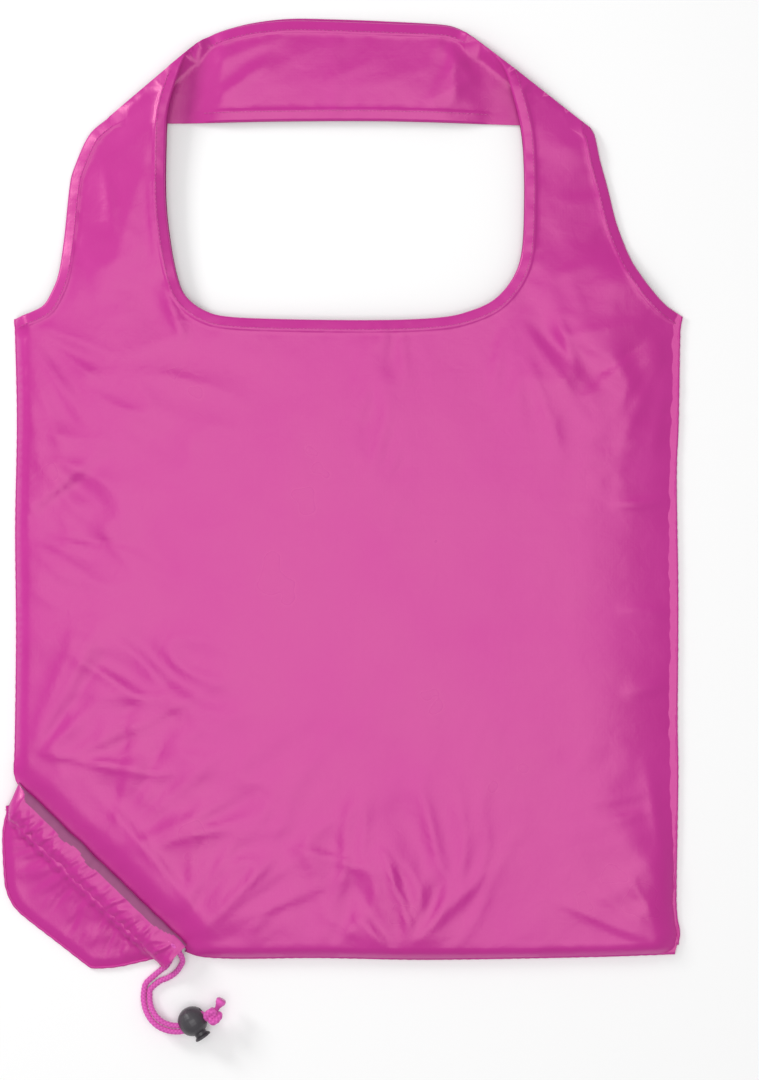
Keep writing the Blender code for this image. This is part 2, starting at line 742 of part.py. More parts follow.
BARREL_RADIUS = BARREL_DIAMETER / 2
CAVITY_RADIUS = BARREL_RADIUS + BARREL_CLEARANCE
CAVITY_END = -math.sqrt((BALL_RADIUS - BALL_WALL) ** 2 - CAVITY_RADIUS ** 2)
BORE_RADIUS = PAIR_HALF_WIDTH + BORE_CLEARANCE
PAIR_SAG = BARREL_RADIUS ** 2 / (2 * LOOP_RADIUS) + CORD_POINT_STEP ** 2 / (8 * LOOP_RADIUS)
SLOT_INNER = BORE_OFFSET - PAIR_HALF_WIDTH - PAIR_SAG - FIT_GAP
SLOT_OUTER = BORE_OFFSET + PAIR_HALF_WIDTH + FIT_GAP + PLUNGER_STROKE
SLOT_HEIGHT = CORD_DIAMETER + 2 * CORD_CLEARANCE
PLUNGER_FOOT = SLOT_INNER - PLUNGER_SEAT
HEAD_RADIUS = PLUNGER_HEAD_DIAMETER / 2
HEAD_START = ball_radius_at(HEAD_RADIUS) + PLUNGER_STROKE + FIT_GAP
LOOP_TANGENT = Vector((-STOP_AXIS.y, STOP_AXIS.x, 0))
UP = Vector((0, 0, 1))


def stop_body(plastic):
    """Make the stop's ball, bored for the cord pair and for the plunger."""
    ball = turned(
        "stop_body", round_profile(-BALL_RADIUS, BALL_RADIUS, ball_radius_at, 16),
        STOP_CENTRE, STOP_AXIS, plastic, 32,
    )
    bore = loop_bore(plastic)
    cavity_profile = [
        (CAVITY_END, 0),
        (CAVITY_END, CAVITY_RADIUS),
        (2 * BALL_RADIUS, CAVITY_RADIUS),
        (2 * BALL_RADIUS, 0),
    ]
    cavity = turned("plunger_cavity_cutter", cavity_profile, STOP_CENTRE, STOP_AXIS, plastic, 32)
    apply_booleans(ball, [bore, cavity])


def loop_bore(plastic):
    """Make the cutter for the cord's bore: a ring round the loop's centre."""
    bm = bmesh.new()
    segments, sides = 72, 20
    rings = []
    for index in range(segments):
        angle = 2 * math.pi * index / segments
        ring = []
        for side in range(sides):
            turn = 2 * math.pi * side / sides
            reach = LOOP_RADIUS + BORE_RADIUS * math.cos(turn)
            ring.append(bm.verts.new(loop_point(angle, reach, STOP_LEVEL + BORE_RADIUS * math.sin(turn))))
        rings.append(ring)
    for near, far in zip(rings, rings[1:] + rings[:1]):
        for side in range(sides):
            after = (side + 1) % sides
            bm.faces.new((near[side], near[after], far[after], far[side]))
    centre = Vector((*LOOP_CENTRE, STOP_LEVEL))
    return mesh_object("cord_bore_cutter", finish_mesh(bm, "cord_bore_cutter"), plastic, centre)


def stop_plunger(plastic):
    """Make the plunger: slotted barrel, neck and flared head with a grip notch."""
    neck = PLUNGER_NECK_DIAMETER / 2
    head_end = HEAD_START + PLUNGER_HEAD_LENGTH
    profile = [
        (PLUNGER_FOOT, 0),
        (PLUNGER_FOOT, BARREL_RADIUS),
        (SLOT_OUTER, BARREL_RADIUS),
        (SLOT_OUTER + FIT_GAP, neck),
        (HEAD_START, neck),
        (HEAD_START + 0.45 * PLUNGER_HEAD_LENGTH, HEAD_RADIUS - 0.2 * MM),
        (HEAD_START + 0.8 * PLUNGER_HEAD_LENGTH, HEAD_RADIUS),
        (head_end, HEAD_RADIUS - 0.35 * MM),
        (head_end, 0),
    ]
    plunger = turned("stop_plunger", profile, STOP_CENTRE, STOP_AXIS, plastic, 32)
    axes = (STOP_AXIS, LOOP_TANGENT, UP)
    slot_centre = STOP_CENTRE + STOP_AXIS * (SLOT_INNER + SLOT_OUTER) / 2
    slot_size = (SLOT_OUTER - SLOT_INNER, BALL_DIAMETER, SLOT_HEIGHT)
    slot = block("plunger_slot_cutter", slot_centre, axes, slot_size, plastic)
    notch_centre = STOP_CENTRE + STOP_AXIS * head_end + LOOP_TANGENT * HEAD_RADIUS + UP * HEAD_RADIUS * 0.3
    notch_size = (2 * NOTCH_DEPTH, HEAD_RADIUS, NOTCH_WIDTH)
    notch = block("plunger_notch_cutter", notch_centre, axes, notch_size, plastic)
    apply_booleans(plunger, [slot, notch])


def stop_spring(steel):
    """Make the conical spring between the cavity's blind end and the plunger's foot."""
    start = CAVITY_END + SPRING_END_GAP + SPRING_WIRE / 2
    end = PLUNGER_FOOT - SPRING_END_GAP - SPRING_WIRE / 2
    wide = CAVITY_RADIUS - 2 * SPRING_END_GAP - SPRING_WIRE
    narrow = wide * 0.35
    per_turn = 12
    points = []
    for index in range(SPRING_TURNS * per_turn + 1):
        share = index / (SPRING_TURNS * per_turn)
        angle = 2 * math.pi * SPRING_TURNS * share
        radius = wide + (narrow - wide) * share
        spoke = LOOP_TANGENT * math.cos(angle) + UP * math.sin(angle)
        points.append(STOP_CENTRE + STOP_AXIS * (start + (end - start) * share) + spoke * radius)
    tube("stop_spring", points, SPRING_WIRE / 2, steel, 1, STOP_CENTRE)


def knot(cord):
    """Make the knot that ties the cord's two ends, with its fused and flared tail."""
    reach = BALL_RADIUS + FIT_GAP + KNOT_HEIGHT / 2
    level_reach = math.sqrt(reach ** 2 - KNOT_LIFT ** 2)
    away = Vector((math.cos(KNOT_DIRECTION), math.sin(KNOT_DIRECTION), 0))
    centre = STOP_CENTRE + away * level_reach + UP * KNOT_LIFT
    tail = Vector((math.cos(TAIL_DIRECTION), math.sin(TAIL_DIRECTION), 0))
    half = KNOT_LENGTH / 2
    join = 0.9 * half

    def radius_at(station):
        return KNOT_HEIGHT / 2 * math.sqrt(max(1 - (station / half) ** 2, 0))

    profile = round_profile(-half, join, radius_at, 10)
    profile += [
        (half + 0.1 * TAIL_LENGTH, TAIL_WAIST / 2),
        (half + 0.3 * TAIL_LENGTH, TAIL_WAIST / 2),
        (half + 0.6 * TAIL_LENGTH, TAIL_FLARE / 2 * 0.8),
        (half + 0.85 * TAIL_LENGTH, TAIL_FLARE / 2),
        (half + TAIL_LENGTH, TAIL_FLARE / 2 * 0.85),
        (half + TAIL_LENGTH, 0),
    ]
    turned("cord_knot", profile, centre, tail, cord, 20)


def main():
    """Build the whole bag."""
    for old in list(bpy.data.objects):
        bpy.data.objects.remove(old)
    cloth = material("polyester_cloth", CLOTH_PINK, 0.38)
    cord = material("braided_cord", CORD_PINK, 0.7)
    plastic = material("stop_plastic", STOP_GREY, 0.35)
    steel = material("spring_steel", SPRING_STEEL, 0.3, 1.0)
    panels(cloth)
    seams(cloth)
    neck_hems(cloth)
    handle("front", True, cloth)
    handle("back", False, cloth)
    pouch_walls(cloth)
    pouch_seam(cloth)
    pouch_casing_and_cord(cloth, cord)
    stop_body(plastic)
    stop_plunger(plastic)
    stop_spring(steel)
    knot(cord)


main()
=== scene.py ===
"""Looks of the foldable tote: satin cloth, turned hems, gathered pouch, braided cord and ball stop.

Lengths are millimetres in bag coordinates unless a name says otherwise. The origin is the middle
of the handles' fold line, +X runs to the right, +Y to the handles and +Z up from the surface that
the bag lies on. BagFrame turns them into metres in the row frame.
"""

import logging
import math
from dataclasses import dataclass, field
from enum import Enum
from typing import Callable, Sequence

import bmesh
import bpy
import numpy as np
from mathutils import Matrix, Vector, noise
from mathutils.geometry import delaunay_2d_cdt


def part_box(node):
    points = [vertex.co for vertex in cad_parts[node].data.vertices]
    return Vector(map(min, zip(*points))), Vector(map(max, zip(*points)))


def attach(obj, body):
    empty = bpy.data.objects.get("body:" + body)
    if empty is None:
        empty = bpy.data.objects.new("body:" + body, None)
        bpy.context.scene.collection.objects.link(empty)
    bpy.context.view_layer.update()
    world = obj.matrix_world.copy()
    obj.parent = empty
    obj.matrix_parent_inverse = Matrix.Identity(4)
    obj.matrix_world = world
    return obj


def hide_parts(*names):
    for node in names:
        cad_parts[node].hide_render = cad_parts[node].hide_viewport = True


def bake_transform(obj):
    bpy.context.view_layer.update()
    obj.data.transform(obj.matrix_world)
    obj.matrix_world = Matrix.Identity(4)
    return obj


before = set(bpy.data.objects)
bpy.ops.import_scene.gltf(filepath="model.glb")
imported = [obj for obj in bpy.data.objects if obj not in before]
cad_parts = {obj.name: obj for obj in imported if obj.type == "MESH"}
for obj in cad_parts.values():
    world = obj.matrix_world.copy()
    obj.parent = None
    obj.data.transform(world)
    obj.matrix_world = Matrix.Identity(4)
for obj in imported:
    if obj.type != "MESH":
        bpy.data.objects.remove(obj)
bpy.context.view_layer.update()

log = logging.getLogger("tote")
MM = 0.001
Points = Sequence[tuple[float, float]]


# --- Small tools -----------------------------------------------------------------------------


def linear(hex_colour: str) -> tuple[float, float, float, float]:
    """Turn an sRGB hex colour into a linear RGBA colour.

    Args:
        hex_colour: Six hex digits, with or without a leading #.

    Returns:
        Linear red, green, blue and an alpha of 1.
    """
    digits = hex_colour.lstrip("#")
    shares = [int(digits[i:i + 2], 16) / 255 for i in (0, 2, 4)]
    red, green, blue = (c / 12.92 if c <= 0.04045 else ((c + 0.055) / 1.055) ** 2.4 for c in shares)
    return red, green, blue, 1.0


def ease(share: np.ndarray) -> np.ndarray:
    """Return a smooth step from 0 to 1 over shares from 0 to 1."""
    share = np.clip(share, 0, 1)
    return share * share * (3 - 2 * share)


def wander(places: np.ndarray, grain: float, seed: float) -> np.ndarray:
    """Return smooth noise from about -1 to 1.

    Args:
        places: Points as an array of (x, y).
        grain: Size of the noise's blobs in millimetres.
        seed: Picks another stretch of the same noise.

    Returns:
        One value for each point.
    """
    return np.array([noise.noise(Vector((x / grain, y / grain, seed))) for x, y in places])


def wander_along(stations: np.ndarray, grain: float, seed: float) -> np.ndarray:
    """Return smooth noise from about -1 to 1 at distances along a line."""
    return wander(np.column_stack([stations, np.zeros(len(stations))]), grain, seed)


def reach_along(path: np.ndarray) -> np.ndarray:
    """Return how far along a polyline each of its points lies."""
    return np.concatenate([[0], np.cumsum(np.linalg.norm(np.diff(path, axis=0), axis=1))])


def smooth_path(points: Sequence[Sequence[float]], step: float) -> np.ndarray:
    """Read evenly spaced points from the smooth curve through a few chosen ones.

    Args:
        points: Points of two or three coordinates.
        step: Distance between the points that are returned.

    Returns:
        An array with a row for each point, the first and last chosen points included.
    """
    route = np.array(points, float)
    padded = np.vstack([2 * route[0] - route[1], route, 2 * route[-1] - route[-2]])
    fine = []
    for p0, p1, p2, p3 in zip(padded, padded[1:], padded[2:], padded[3:]):
        for t in np.arange(16) / 16:
            fine.append(0.5 * (
                2 * p1 + (p2 - p0) * t + (2 * p0 - 5 * p1 + 4 * p2 - p3) * t ** 2
                + (3 * p1 - p0 - 3 * p2 + p3) * t ** 3
            ))
    fine = np.array(fine + [route[-1]])
    reach = reach_along(fine)
    stations = np.linspace(0, reach[-1], max(round(reach[-1] / step), 2) + 1)
    return np.column_stack([np.interp(stations, reach, column) for column in fine.T])


def nearest(places: np.ndarray, path: np.ndarray) -> tuple[np.ndarray, np.ndarray]:
    """Measure points against a polyline.

    Args:
        places: Points as an array of (x, y).
        path: The polyline's points.

    Returns:
        Each point's distance to the polyline, and how far along it the nearest spot lies.
    """
    start, run = path[:-1], np.diff(path, axis=0)
    size = np.linalg.norm(run, axis=1)
    reach = reach_along(path)[:-1]
    best = np.full(len(places), 1e9)
    along = np.zeros(len(places))
    for origin, step, length, before in zip(start, run, size, reach):
        share = np.clip(((places - origin) @ step) / max(length ** 2, 1e-12), 0, 1)
        gap = np.hypot(*(places - origin - share[:, None] * step).T)
        closer = gap < best
        best[closer], along[closer] = gap[closer], (before + share * length)[closer]
    return best, along


def offset_path(path: np.ndarray, distance: float) -> np.ndarray:
    """Shift a polyline to the left of its direction.

    Args:
        path: The polyline's points.
        distance: How far to shift it.

    Returns:
        The shifted points.
    """
    run = np.gradient(path, axis=0)
    run /= np.maximum(np.linalg.norm(run, axis=1), 1e-9)[:, None]
    return path + distance * np.column_stack([-run[:, 1], run[:, 0]])


def inside(places: np.ndarray, outline: np.ndarray) -> np.ndarray:
    """Tell which points lie inside a closed outline.

    Args:
        places: Points as an array of (x, y).
        outline: The outline's points, without the first repeated.

    Returns:
        True or False for each point.
    """
    hit = np.zeros(len(places), bool)
    x, y = places.T
    for (x0, y0), (x1, y1) in zip(outline, np.roll(outline, -1, axis=0)):
        if y0 == y1:
            continue
        crosses = (y0 > y) != (y1 > y)
        hit ^= crosses & (x < (x1 - x0) * (y - y0) / (y1 - y0) + x0)
    return hit


class BagFrame:
    """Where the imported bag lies, and how its own millimetres become the row frame's metres."""

    def __init__(self) -> None:
        """Read the bag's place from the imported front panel."""
        low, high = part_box("front_panel")
        edge_gap = 0.3 * MM
        self.origin = Vector(((low[0] + high[0]) / 2, high[1] + edge_gap, 0))

    def world(self, places: np.ndarray) -> np.ndarray:
        """Turn an array of (x, y, z) in bag millimetres into row-frame metres."""
        return np.asarray(places, float) * MM + np.array(self.origin)


BAG = BagFrame()


def add_node(tree: bpy.types.NodeTree, kind: str, settings: dict | None = None,
             links: dict | None = None) -> bpy.types.Node:
    """Add a shader node.

    Args:
        tree: The material's node tree.
        kind: The node's type, such as "ShaderNodeBump".
        settings: Values by name, for the node's properties or its input sockets.
        links: Output sockets by the input that they feed, as a name or a number.

    Returns:
        The new node.
    """
    made = tree.nodes.new(kind)
    for name, value in (settings or {}).items():
        if isinstance(name, str) and hasattr(made, name):
            setattr(made, name, value)
        else:
            made.inputs[name].default_value = value
    for name, source in (links or {}).items():
        tree.links.new(source, made.inputs[name])
    return made


def start_finish(name: str) -> tuple[bpy.types.Material, bpy.types.NodeTree, bpy.types.Node]:
    """Return a new material, its node tree and its shader."""
    made = bpy.data.materials.new(name)
    made.use_nodes = True
    return made, made.node_tree, made.node_tree.nodes["Principled BSDF"]


def tint_shader(tree: bpy.types.NodeTree, deep: str, light: str, share: bpy.types.NodeSocket) -> None:
    """Colour the shader between two shades.

    Args:
        tree: The material's node tree.
        deep: The hex colour at a share of 0.
        light: The hex colour at a share of 1.
        share: The output that gives the share.
    """
    tint = add_node(tree, "ShaderNodeMix", {
        "data_type": "RGBA", 6: linear(deep), 7: linear(light),
    }, {"Factor": share})
    tree.links.new(tint.outputs[2], tree.nodes["Principled BSDF"].inputs["Base Color"])


def dent_shader(tree: bpy.types.NodeTree, strength: float, distance: float, height: bpy.types.NodeSocket,
                under: bpy.types.NodeSocket | None = None) -> bpy.types.NodeSocket:
    """Give the shader fine relief.

    Args:
        tree: The material's node tree.
        strength: How strongly the relief shows.
        distance: The relief's depth in metres.
        height: The output that gives the relief.
        under: The normal that this relief is laid over, or None for the mesh's own.

    Returns:
        The normal, which now feeds the shader.
    """
    links = {"Height": height} if under is None else {"Height": height, "Normal": under}
    normal = add_node(tree, "ShaderNodeBump", {"Strength": strength, "Distance": distance}, links).outputs[0]
    tree.links.new(normal, tree.nodes["Principled BSDF"].inputs["Normal"])
    return normal


def new_mesh(name: str, places: np.ndarray, faces: Sequence, finish: bpy.types.Material,
             flat: np.ndarray | None = None) -> bpy.types.Object:
    """Make a smooth mesh object from points in bag millimetres.

    Args:
        name: The object's name.
        places: Points as an array of (x, y, z).
        faces: Corner numbers of each face.
        finish: The material.
        flat: Each point's (x, y) on the flat cloth, or None to use its place.

    Returns:
        The object, with a UV map in tens of millimetres of cloth.
    """
    mesh = bpy.data.meshes.new(name)
    mesh.from_pydata([Vector(p) for p in BAG.world(places)], [], [list(f) for f in faces])
    mesh.materials.append(finish)
    mesh.shade_smooth()
    cloth = (np.asarray(places)[:, :2] if flat is None else np.asarray(flat)) / 10
    corners = np.zeros(len(mesh.loops), int)
    mesh.loops.foreach_get("vertex_index", corners)
    layer = mesh.uv_layers.new(name="cloth")
    layer.data.foreach_set("uv", cloth[corners].astype(np.float32).ravel())
    made = bpy.data.objects.new(name, mesh)
    bpy.context.scene.collection.objects.link(made)
    return made


# --- Finishes ----------------------------------------------------------------------------------


@dataclass(frozen=True)
class SatinPolyester:
    """Woven 190T polyester taffeta, calendered so that it shines softly.

    The eye gets a broad satin highlight, slightly deeper colour in the folds and a faint weave.
    """

    name: str = "satin_polyester"
    light: str = "C92E99"
    deep: str = "BB238A"
    roughness: float = 0.31
    thread_pitch: float = 0.9  # the real 0.13 mm is too fine to show, so it is drawn coarser
    mottle_size: float = 70.0
    crinkle_size: float = 9.0

    def make(self) -> bpy.types.Material:
        """Build the material."""
        made, tree, shader = start_finish(self.name)
        place = add_node(tree, "ShaderNodeUVMap", {"uv_map": "cloth"}).outputs["UV"]
        mottle = add_node(tree, "ShaderNodeTexNoise", {
            "Scale": 10 / self.mottle_size, "Detail": 3.0, "Roughness": 0.55,
        }, {"Vector": place})
        tint_shader(tree, self.deep, self.light, mottle.outputs["Fac"])
        threads = []
        for direction in ("X", "Y"):
            threads.append(add_node(tree, "ShaderNodeTexWave", {
                "bands_direction": direction, "Scale": 10 / self.thread_pitch / math.tau * 2,
                "Distortion": 0.4, "Detail": 1.0,
            }, {"Vector": place}).outputs["Fac"])
        weave = add_node(tree, "ShaderNodeMath", {"operation": "MULTIPLY"},
                         {0: threads[0], 1: threads[1]})
        crinkle = add_node(tree, "ShaderNodeTexNoise", {
            "Scale": 10 / self.crinkle_size, "Detail": 4.0, "Roughness": 0.5, "Distortion": 0.6,
        }, {"Vector": place})
        fine = dent_shader(tree, 0.12, 0.0001, weave.outputs[0])
        dent_shader(tree, 0.3, 0.0006, crinkle.outputs["Fac"], fine)
        gloss = add_node(tree, "ShaderNodeMapRange", {
            "From Min": 0.3, "From Max": 0.7,
            "To Min": self.roughness - 0.05, "To Max": self.roughness + 0.06,
        }, {"Value": mottle.outputs["Fac"]})
        tree.links.new(gloss.outputs[0], shader.inputs["Roughness"])
        shader.inputs["IOR"].default_value = 1.5
        shader.inputs["Specular IOR Level"].default_value = 0.88
        shader.inputs["Specular Tint"].default_value = linear("FFBACC")
        shader.inputs["Sheen Weight"].default_value = 0.03
        return made


@dataclass(frozen=True)
class SewingThread:
    """Spun polyester sewing thread, dyed to match: a matt dotted line beside the satin."""

    name: str = "sewing_thread"
    light: str = "D862AE"
    deep: str = "BC4592"
    ply_pitch: float = 0.5

    def make(self) -> bpy.types.Material:
        """Build the material."""
        made, tree, shader = start_finish(self.name)
        place = add_node(tree, "ShaderNodeUVMap", {"uv_map": "cloth"}).outputs["UV"]
        ply = add_node(tree, "ShaderNodeTexWave", {
            "bands_direction": "DIAGONAL", "Scale": 10 / self.ply_pitch / math.tau, "Distortion": 0.5,
        }, {"Vector": place})
        tint_shader(tree, self.deep, self.light, ply.outputs["Fac"])
        dent_shader(tree, 0.5, 0.0001, ply.outputs["Fac"])
        shader.inputs["Roughness"].default_value = 0.7
        return made


@dataclass(frozen=True)
class BraidedPolyester:
    """Braided polyester cord, its yarns crossing as a herringbone, with painted shade where they dive and a
    painted lighter tone on their crests.
    """

    name: str = "braided_polyester"
    # light is painted on the yarns' crests and deep in their dives, as painted light and shade.
    light: str = "EA5FC2"
    deep: str = "B02288"
    yarn_width: float = 0.25

    def make(self) -> bpy.types.Material:
        """Build the material."""
        made, tree, shader = start_finish(self.name)
        painted_dive_shade = add_node(tree, "ShaderNodeAttribute", {"attribute_name": "yarn_height"})
        place = add_node(tree, "ShaderNodeTexCoord").outputs["Object"]
        fibre = add_node(tree, "ShaderNodeTexNoise", {"Scale": 1 / (self.yarn_width * MM), "Detail": 2.0},
                         {"Vector": place})
        # Painted shade: the colour runs from deep where the yarns dive to light on their crests.
        tint_shader(tree, self.deep, self.light, painted_dive_shade.outputs["Fac"])
        dent_shader(tree, 0.5, 0.0001, fibre.outputs["Fac"])
        shader.inputs["Roughness"].default_value = 0.62
        shader.inputs["Sheen Weight"].default_value = 0.3
        return made


@dataclass(frozen=True)
class MouldedAcetal:
    """Injection-moulded acetal, lightly eroded: near-black grey with a soft satin highlight."""

    name: str = "moulded_acetal"
    light: str = "4C484D"
    deep: str = "37343A"
    grain: float = 0.35
    flow_size: float = 12.0

    def make(self) -> bpy.types.Material:
        """Build the material."""
        made, tree, shader = start_finish(self.name)
        place = add_node(tree, "ShaderNodeTexCoord").outputs["Object"]
        erosion = add_node(tree, "ShaderNodeTexNoise", {"Scale": 1 / (self.grain * MM), "Detail": 3.0},
                           {"Vector": place})
        flow = add_node(tree, "ShaderNodeTexNoise", {"Scale": 1 / (self.flow_size * MM), "Detail": 2.0},
                        {"Vector": place})
        tint_shader(tree, self.deep, self.light, flow.outputs["Fac"])
        dent_shader(tree, 0.15, 0.0001, erosion.outputs["Fac"])
        gloss = add_node(tree, "ShaderNodeMapRange", {"To Min": 0.3, "To Max": 0.42},
                         {"Value": erosion.outputs["Fac"]})
        tree.links.new(gloss.outputs[0], shader.inputs["Roughness"])
        shader.inputs["IOR"].default_value = 1.48
        return made


@dataclass(frozen=True)
class SpringWire:
    """Drawn spring steel wire: bright metal with fine lines along the draw."""

    name: str = "spring_wire"
    colour: str = "C2C4C6"
    line_pitch: float = 0.08

    def make(self) -> bpy.types.Material:
        """Build the material."""
        made, tree, shader = start_finish(self.name)
        place = add_node(tree, "ShaderNodeTexCoord").outputs["Object"]
        lines = add_node(tree, "ShaderNodeTexNoise", {"Scale": 1 / (self.line_pitch * MM), "Detail": 2.0},
                         {"Vector": place})
        gloss = add_node(tree, "ShaderNodeMapRange", {"To Min": 0.22, "To Max": 0.4},
                         {"Value": lines.outputs["Fac"]})
        tree.links.new(gloss.outputs[0], shader.inputs["Roughness"])
        shader.inputs["Base Color"].default_value = linear(self.colour)
        shader.inputs["Metallic"].default_value = 1.0
        return made


@dataclass(frozen=True)
class PaperBackdrop:
    """Matt white studio paper: clean, with the faintest tooth."""

    name: str = "paper_backdrop"
    colour: str = "FEFEFE"
    tooth: float = 1.5

    def make(self) -> bpy.types.Material:
        """Build the material."""
        made, tree, shader = start_finish(self.name)
        place = add_node(tree, "ShaderNodeTexCoord").outputs["Object"]
        fibre = add_node(tree, "ShaderNodeTexNoise", {"Scale": 1 / (self.tooth * MM)}, {"Vector": place})
        dent_shader(tree, 0.04, 0.0001, fibre.outputs["Fac"])
        shader.inputs["Base Color"].default_value = linear(self.colour)
        shader.inputs["Roughness"].default_value = 0.9
        return made


# --- Folds and wrinkles --------------------------------------------------------------------------


@dataclass(frozen=True)
class Crease:
    """A pulled fold: a crest between two points, with one side steeper than the other."""

    start: tuple[float, float]
    end: tuple[float, float]
    height: float
    width: float
    lean: float = 0.35

    def rise(self, places: np.ndarray) -> np.ndarray:
        """Return how far the fold lifts the cloth at each (x, y)."""
        start, run = np.array(self.start), np.subtract(self.end, self.start)
        length = np.hypot(*run)
        along = (places - start) @ run / length ** 2
        across = (places - start) @ np.array([-run[1], run[0]]) / length
        across = across + 0.06 * length * np.sin(math.pi * np.clip(along, 0, 1)) * (self.lean - 0.5)
        taper = np.sin(math.pi * np.clip(along, 0, 1)) ** 0.8
        side = np.where(across > 0, self.width * self.lean * 2, self.width * (1 - self.lean) * 2)
        return self.height * taper * np.exp(-np.abs(across / side) ** 1.25)


@dataclass(frozen=True)
class Fan:
    """Creases that spread from a point where the cloth is held."""

    centre: tuple[float, float]
    angles: tuple[float, float]
    count: int
    start: float
    length: float
    height: float
    width: float
    seed: int

    def creases(self) -> list[Crease]:
        """Return the fan's creases."""
        chance = np.random.default_rng(self.seed)
        made = []
        for number in range(self.count):
            share = (number + chance.uniform(-0.3, 0.3)) / max(self.count - 1, 1)
            angle = math.radians(self.angles[0] + share * (self.angles[1] - self.angles[0]))
            near = self.start * chance.uniform(0.5, 1.6)
            far = near + self.length * chance.uniform(0.5, 1.1)
            spoke = (math.cos(angle), math.sin(angle))
            made.append(Crease(
                (self.centre[0] + near * spoke[0], self.centre[1] + near * spoke[1]),
                (self.centre[0] + far * spoke[0], self.centre[1] + far * spoke[1]),
                self.height * chance.uniform(0.4, 1.1) * chance.choice([1, 1, -0.8]),
                self.width * chance.uniform(0.7, 1.4),
                chance.uniform(0.25, 0.75),
            ))
        return made


@dataclass(frozen=True)
class Rumple:
    """A patch crumpled into soft facets with sharp crests between them."""

    centre: tuple[float, float]
    reach: tuple[float, float]
    angle: float
    height: float
    grain: float
    stretch: float = 2.2

    def rise(self, places: np.ndarray) -> np.ndarray:
        """Return how far the patch lifts the cloth at each (x, y)."""
        turn = math.radians(self.angle)
        along = (places - self.centre) @ np.array([math.cos(turn), math.sin(turn)])
        across = (places - self.centre) @ np.array([-math.sin(turn), math.cos(turn)])
        weight = np.exp(-(along / self.reach[0]) ** 2 - (across / self.reach[1]) ** 2)
        used = weight > 0.02
        spots = np.column_stack([along[used] / self.stretch, across[used]])
        seed = self.grain + self.angle / 7
        warp = 0.5 * self.grain * wander(spots, self.grain * 1.7, seed + 9)
        folds = 1 - 2 * np.abs(wander(spots + warp[:, None], self.grain, seed))
        rise = np.zeros(len(places))
        rise[used] = self.height * weight[used] * folds
        return rise


# --- Sheets of cloth --------------------------------------------------------------------------


class Face(Enum):
    """Which of the bag's two layers a sheet is."""

    FRONT = "front"
    BACK = "back"


@dataclass(frozen=True)
class Hem:
    """A turned and stitched edge."""

    width: float = 7.0
    rise: float = 0.45
    ridge: float = 0.3
    roll: float = 1.2
    pucker: float = 0.45
    pucker_pitch: float = 4.2
    rows: tuple[float, ...] = (0.5, 1.2, 5.2, 6.2, 7.0, 7.8, 10.0)

    def lift(self, gap: np.ndarray, along: np.ndarray) -> np.ndarray:
        """Return the hem's own relief.

        Args:
            gap: Distance from the free edge.
            along: Distance along the free edge.

        Returns:
            The rise of the cloth at each point.
        """
        step = self.rise * (1 - ease((gap - self.width + 0.6) / 1.0))
        ridge = self.ridge * np.exp(-((gap - self.width + 0.9) / 0.55) ** 2)
        fall = np.clip(1 - gap / self.roll, 0, 1)
        edge = -1.3 * (1 - np.sqrt(np.maximum(1 - fall ** 2, 0)))
        places = np.column_stack([along, gap * 0.35])
        gather = self.pucker * wander(places, self.pucker_pitch, 3.7)
        gather *= np.exp(-((gap - self.width * 0.75) / (self.width * 0.7)) ** 2)
        return step + ridge + edge + gather


class Sheet:
    """A sheet of cloth lying over an outline, with its height given by a function."""

    def __init__(self, name: str, outline: np.ndarray, spacing: float,
                 free_edges: Sequence[np.ndarray] = (), hem: Hem = Hem()) -> None:
        """Lay out the sheet's points.

        Args:
            name: The object's name.
            outline: The closed outline, finely spaced.
            spacing: Distance between points inside.
            free_edges: Hemmed stretches of the outline, with the cloth on their left.
            hem: The hem that they have.
        """
        self.name = name
        self.outline = outline
        self.spacing = spacing
        self.free_edges = list(free_edges)
        self.hem = hem

    def triangles(self) -> tuple[np.ndarray, list[list[int]]]:
        """Fill the outline with evenly spaced points, closer together along the hems.

        Returns:
            The points as (x, y), and each triangle's corner numbers.
        """
        low, high = self.outline.min(axis=0), self.outline.max(axis=0)
        deep = max(self.hem.rows) + 0.6 * self.spacing if self.free_edges else 0
        pitch = self.spacing * math.sqrt(3) / 2
        grid = np.array([
            (x + (row % 2) * self.spacing / 2, y)
            for row, y in enumerate(np.arange(low[1], high[1], pitch))
            for x in np.arange(low[0], high[0], self.spacing)
        ])
        grid = grid[inside(grid, self.outline)]
        border = np.vstack([self.outline, self.outline[:1]])
        grid = grid[nearest(grid, border)[0] > 0.55 * self.spacing]
        for edge in self.free_edges:
            grid = grid[nearest(grid, edge)[0] > deep]
        kept = [grid]
        for edge in self.free_edges:
            for gap in self.hem.rows:
                row = offset_path(edge, gap)
                row = row[inside(row, self.outline)]
                kept.append(row[nearest(row, border)[0] > 0.9 * gap])
        inner = np.vstack(kept)
        count = len(self.outline)
        points = [Vector(p) for p in np.vstack([self.outline, inner])]
        rim = [(i, (i + 1) % count) for i in range(count)]
        made = delaunay_2d_cdt(points, rim, [], 1, 1e-4, False)
        places = np.array([tuple(p) for p in made[0]])
        faces = np.array([list(face) for face in made[2]])
        faces = faces[inside(places[faces].mean(axis=1), self.outline)]
        return places, faces.tolist()

    def build(self, height: Callable[[np.ndarray], np.ndarray], finish: bpy.types.Material,
              face_up: bool = True) -> bpy.types.Object:
        """Make the sheet's object.

        Args:
            height: Gives z for an array of (x, y).
            finish: The cloth's material.
            face_up: Whether its right side faces up.

        Returns:
            The object.
        """
        flat, faces = self.triangles()
        places = np.column_stack([flat, height(flat)])
        if not face_up:
            faces = [face[::-1] for face in faces]
        return new_mesh(self.name, places, faces, finish, flat)


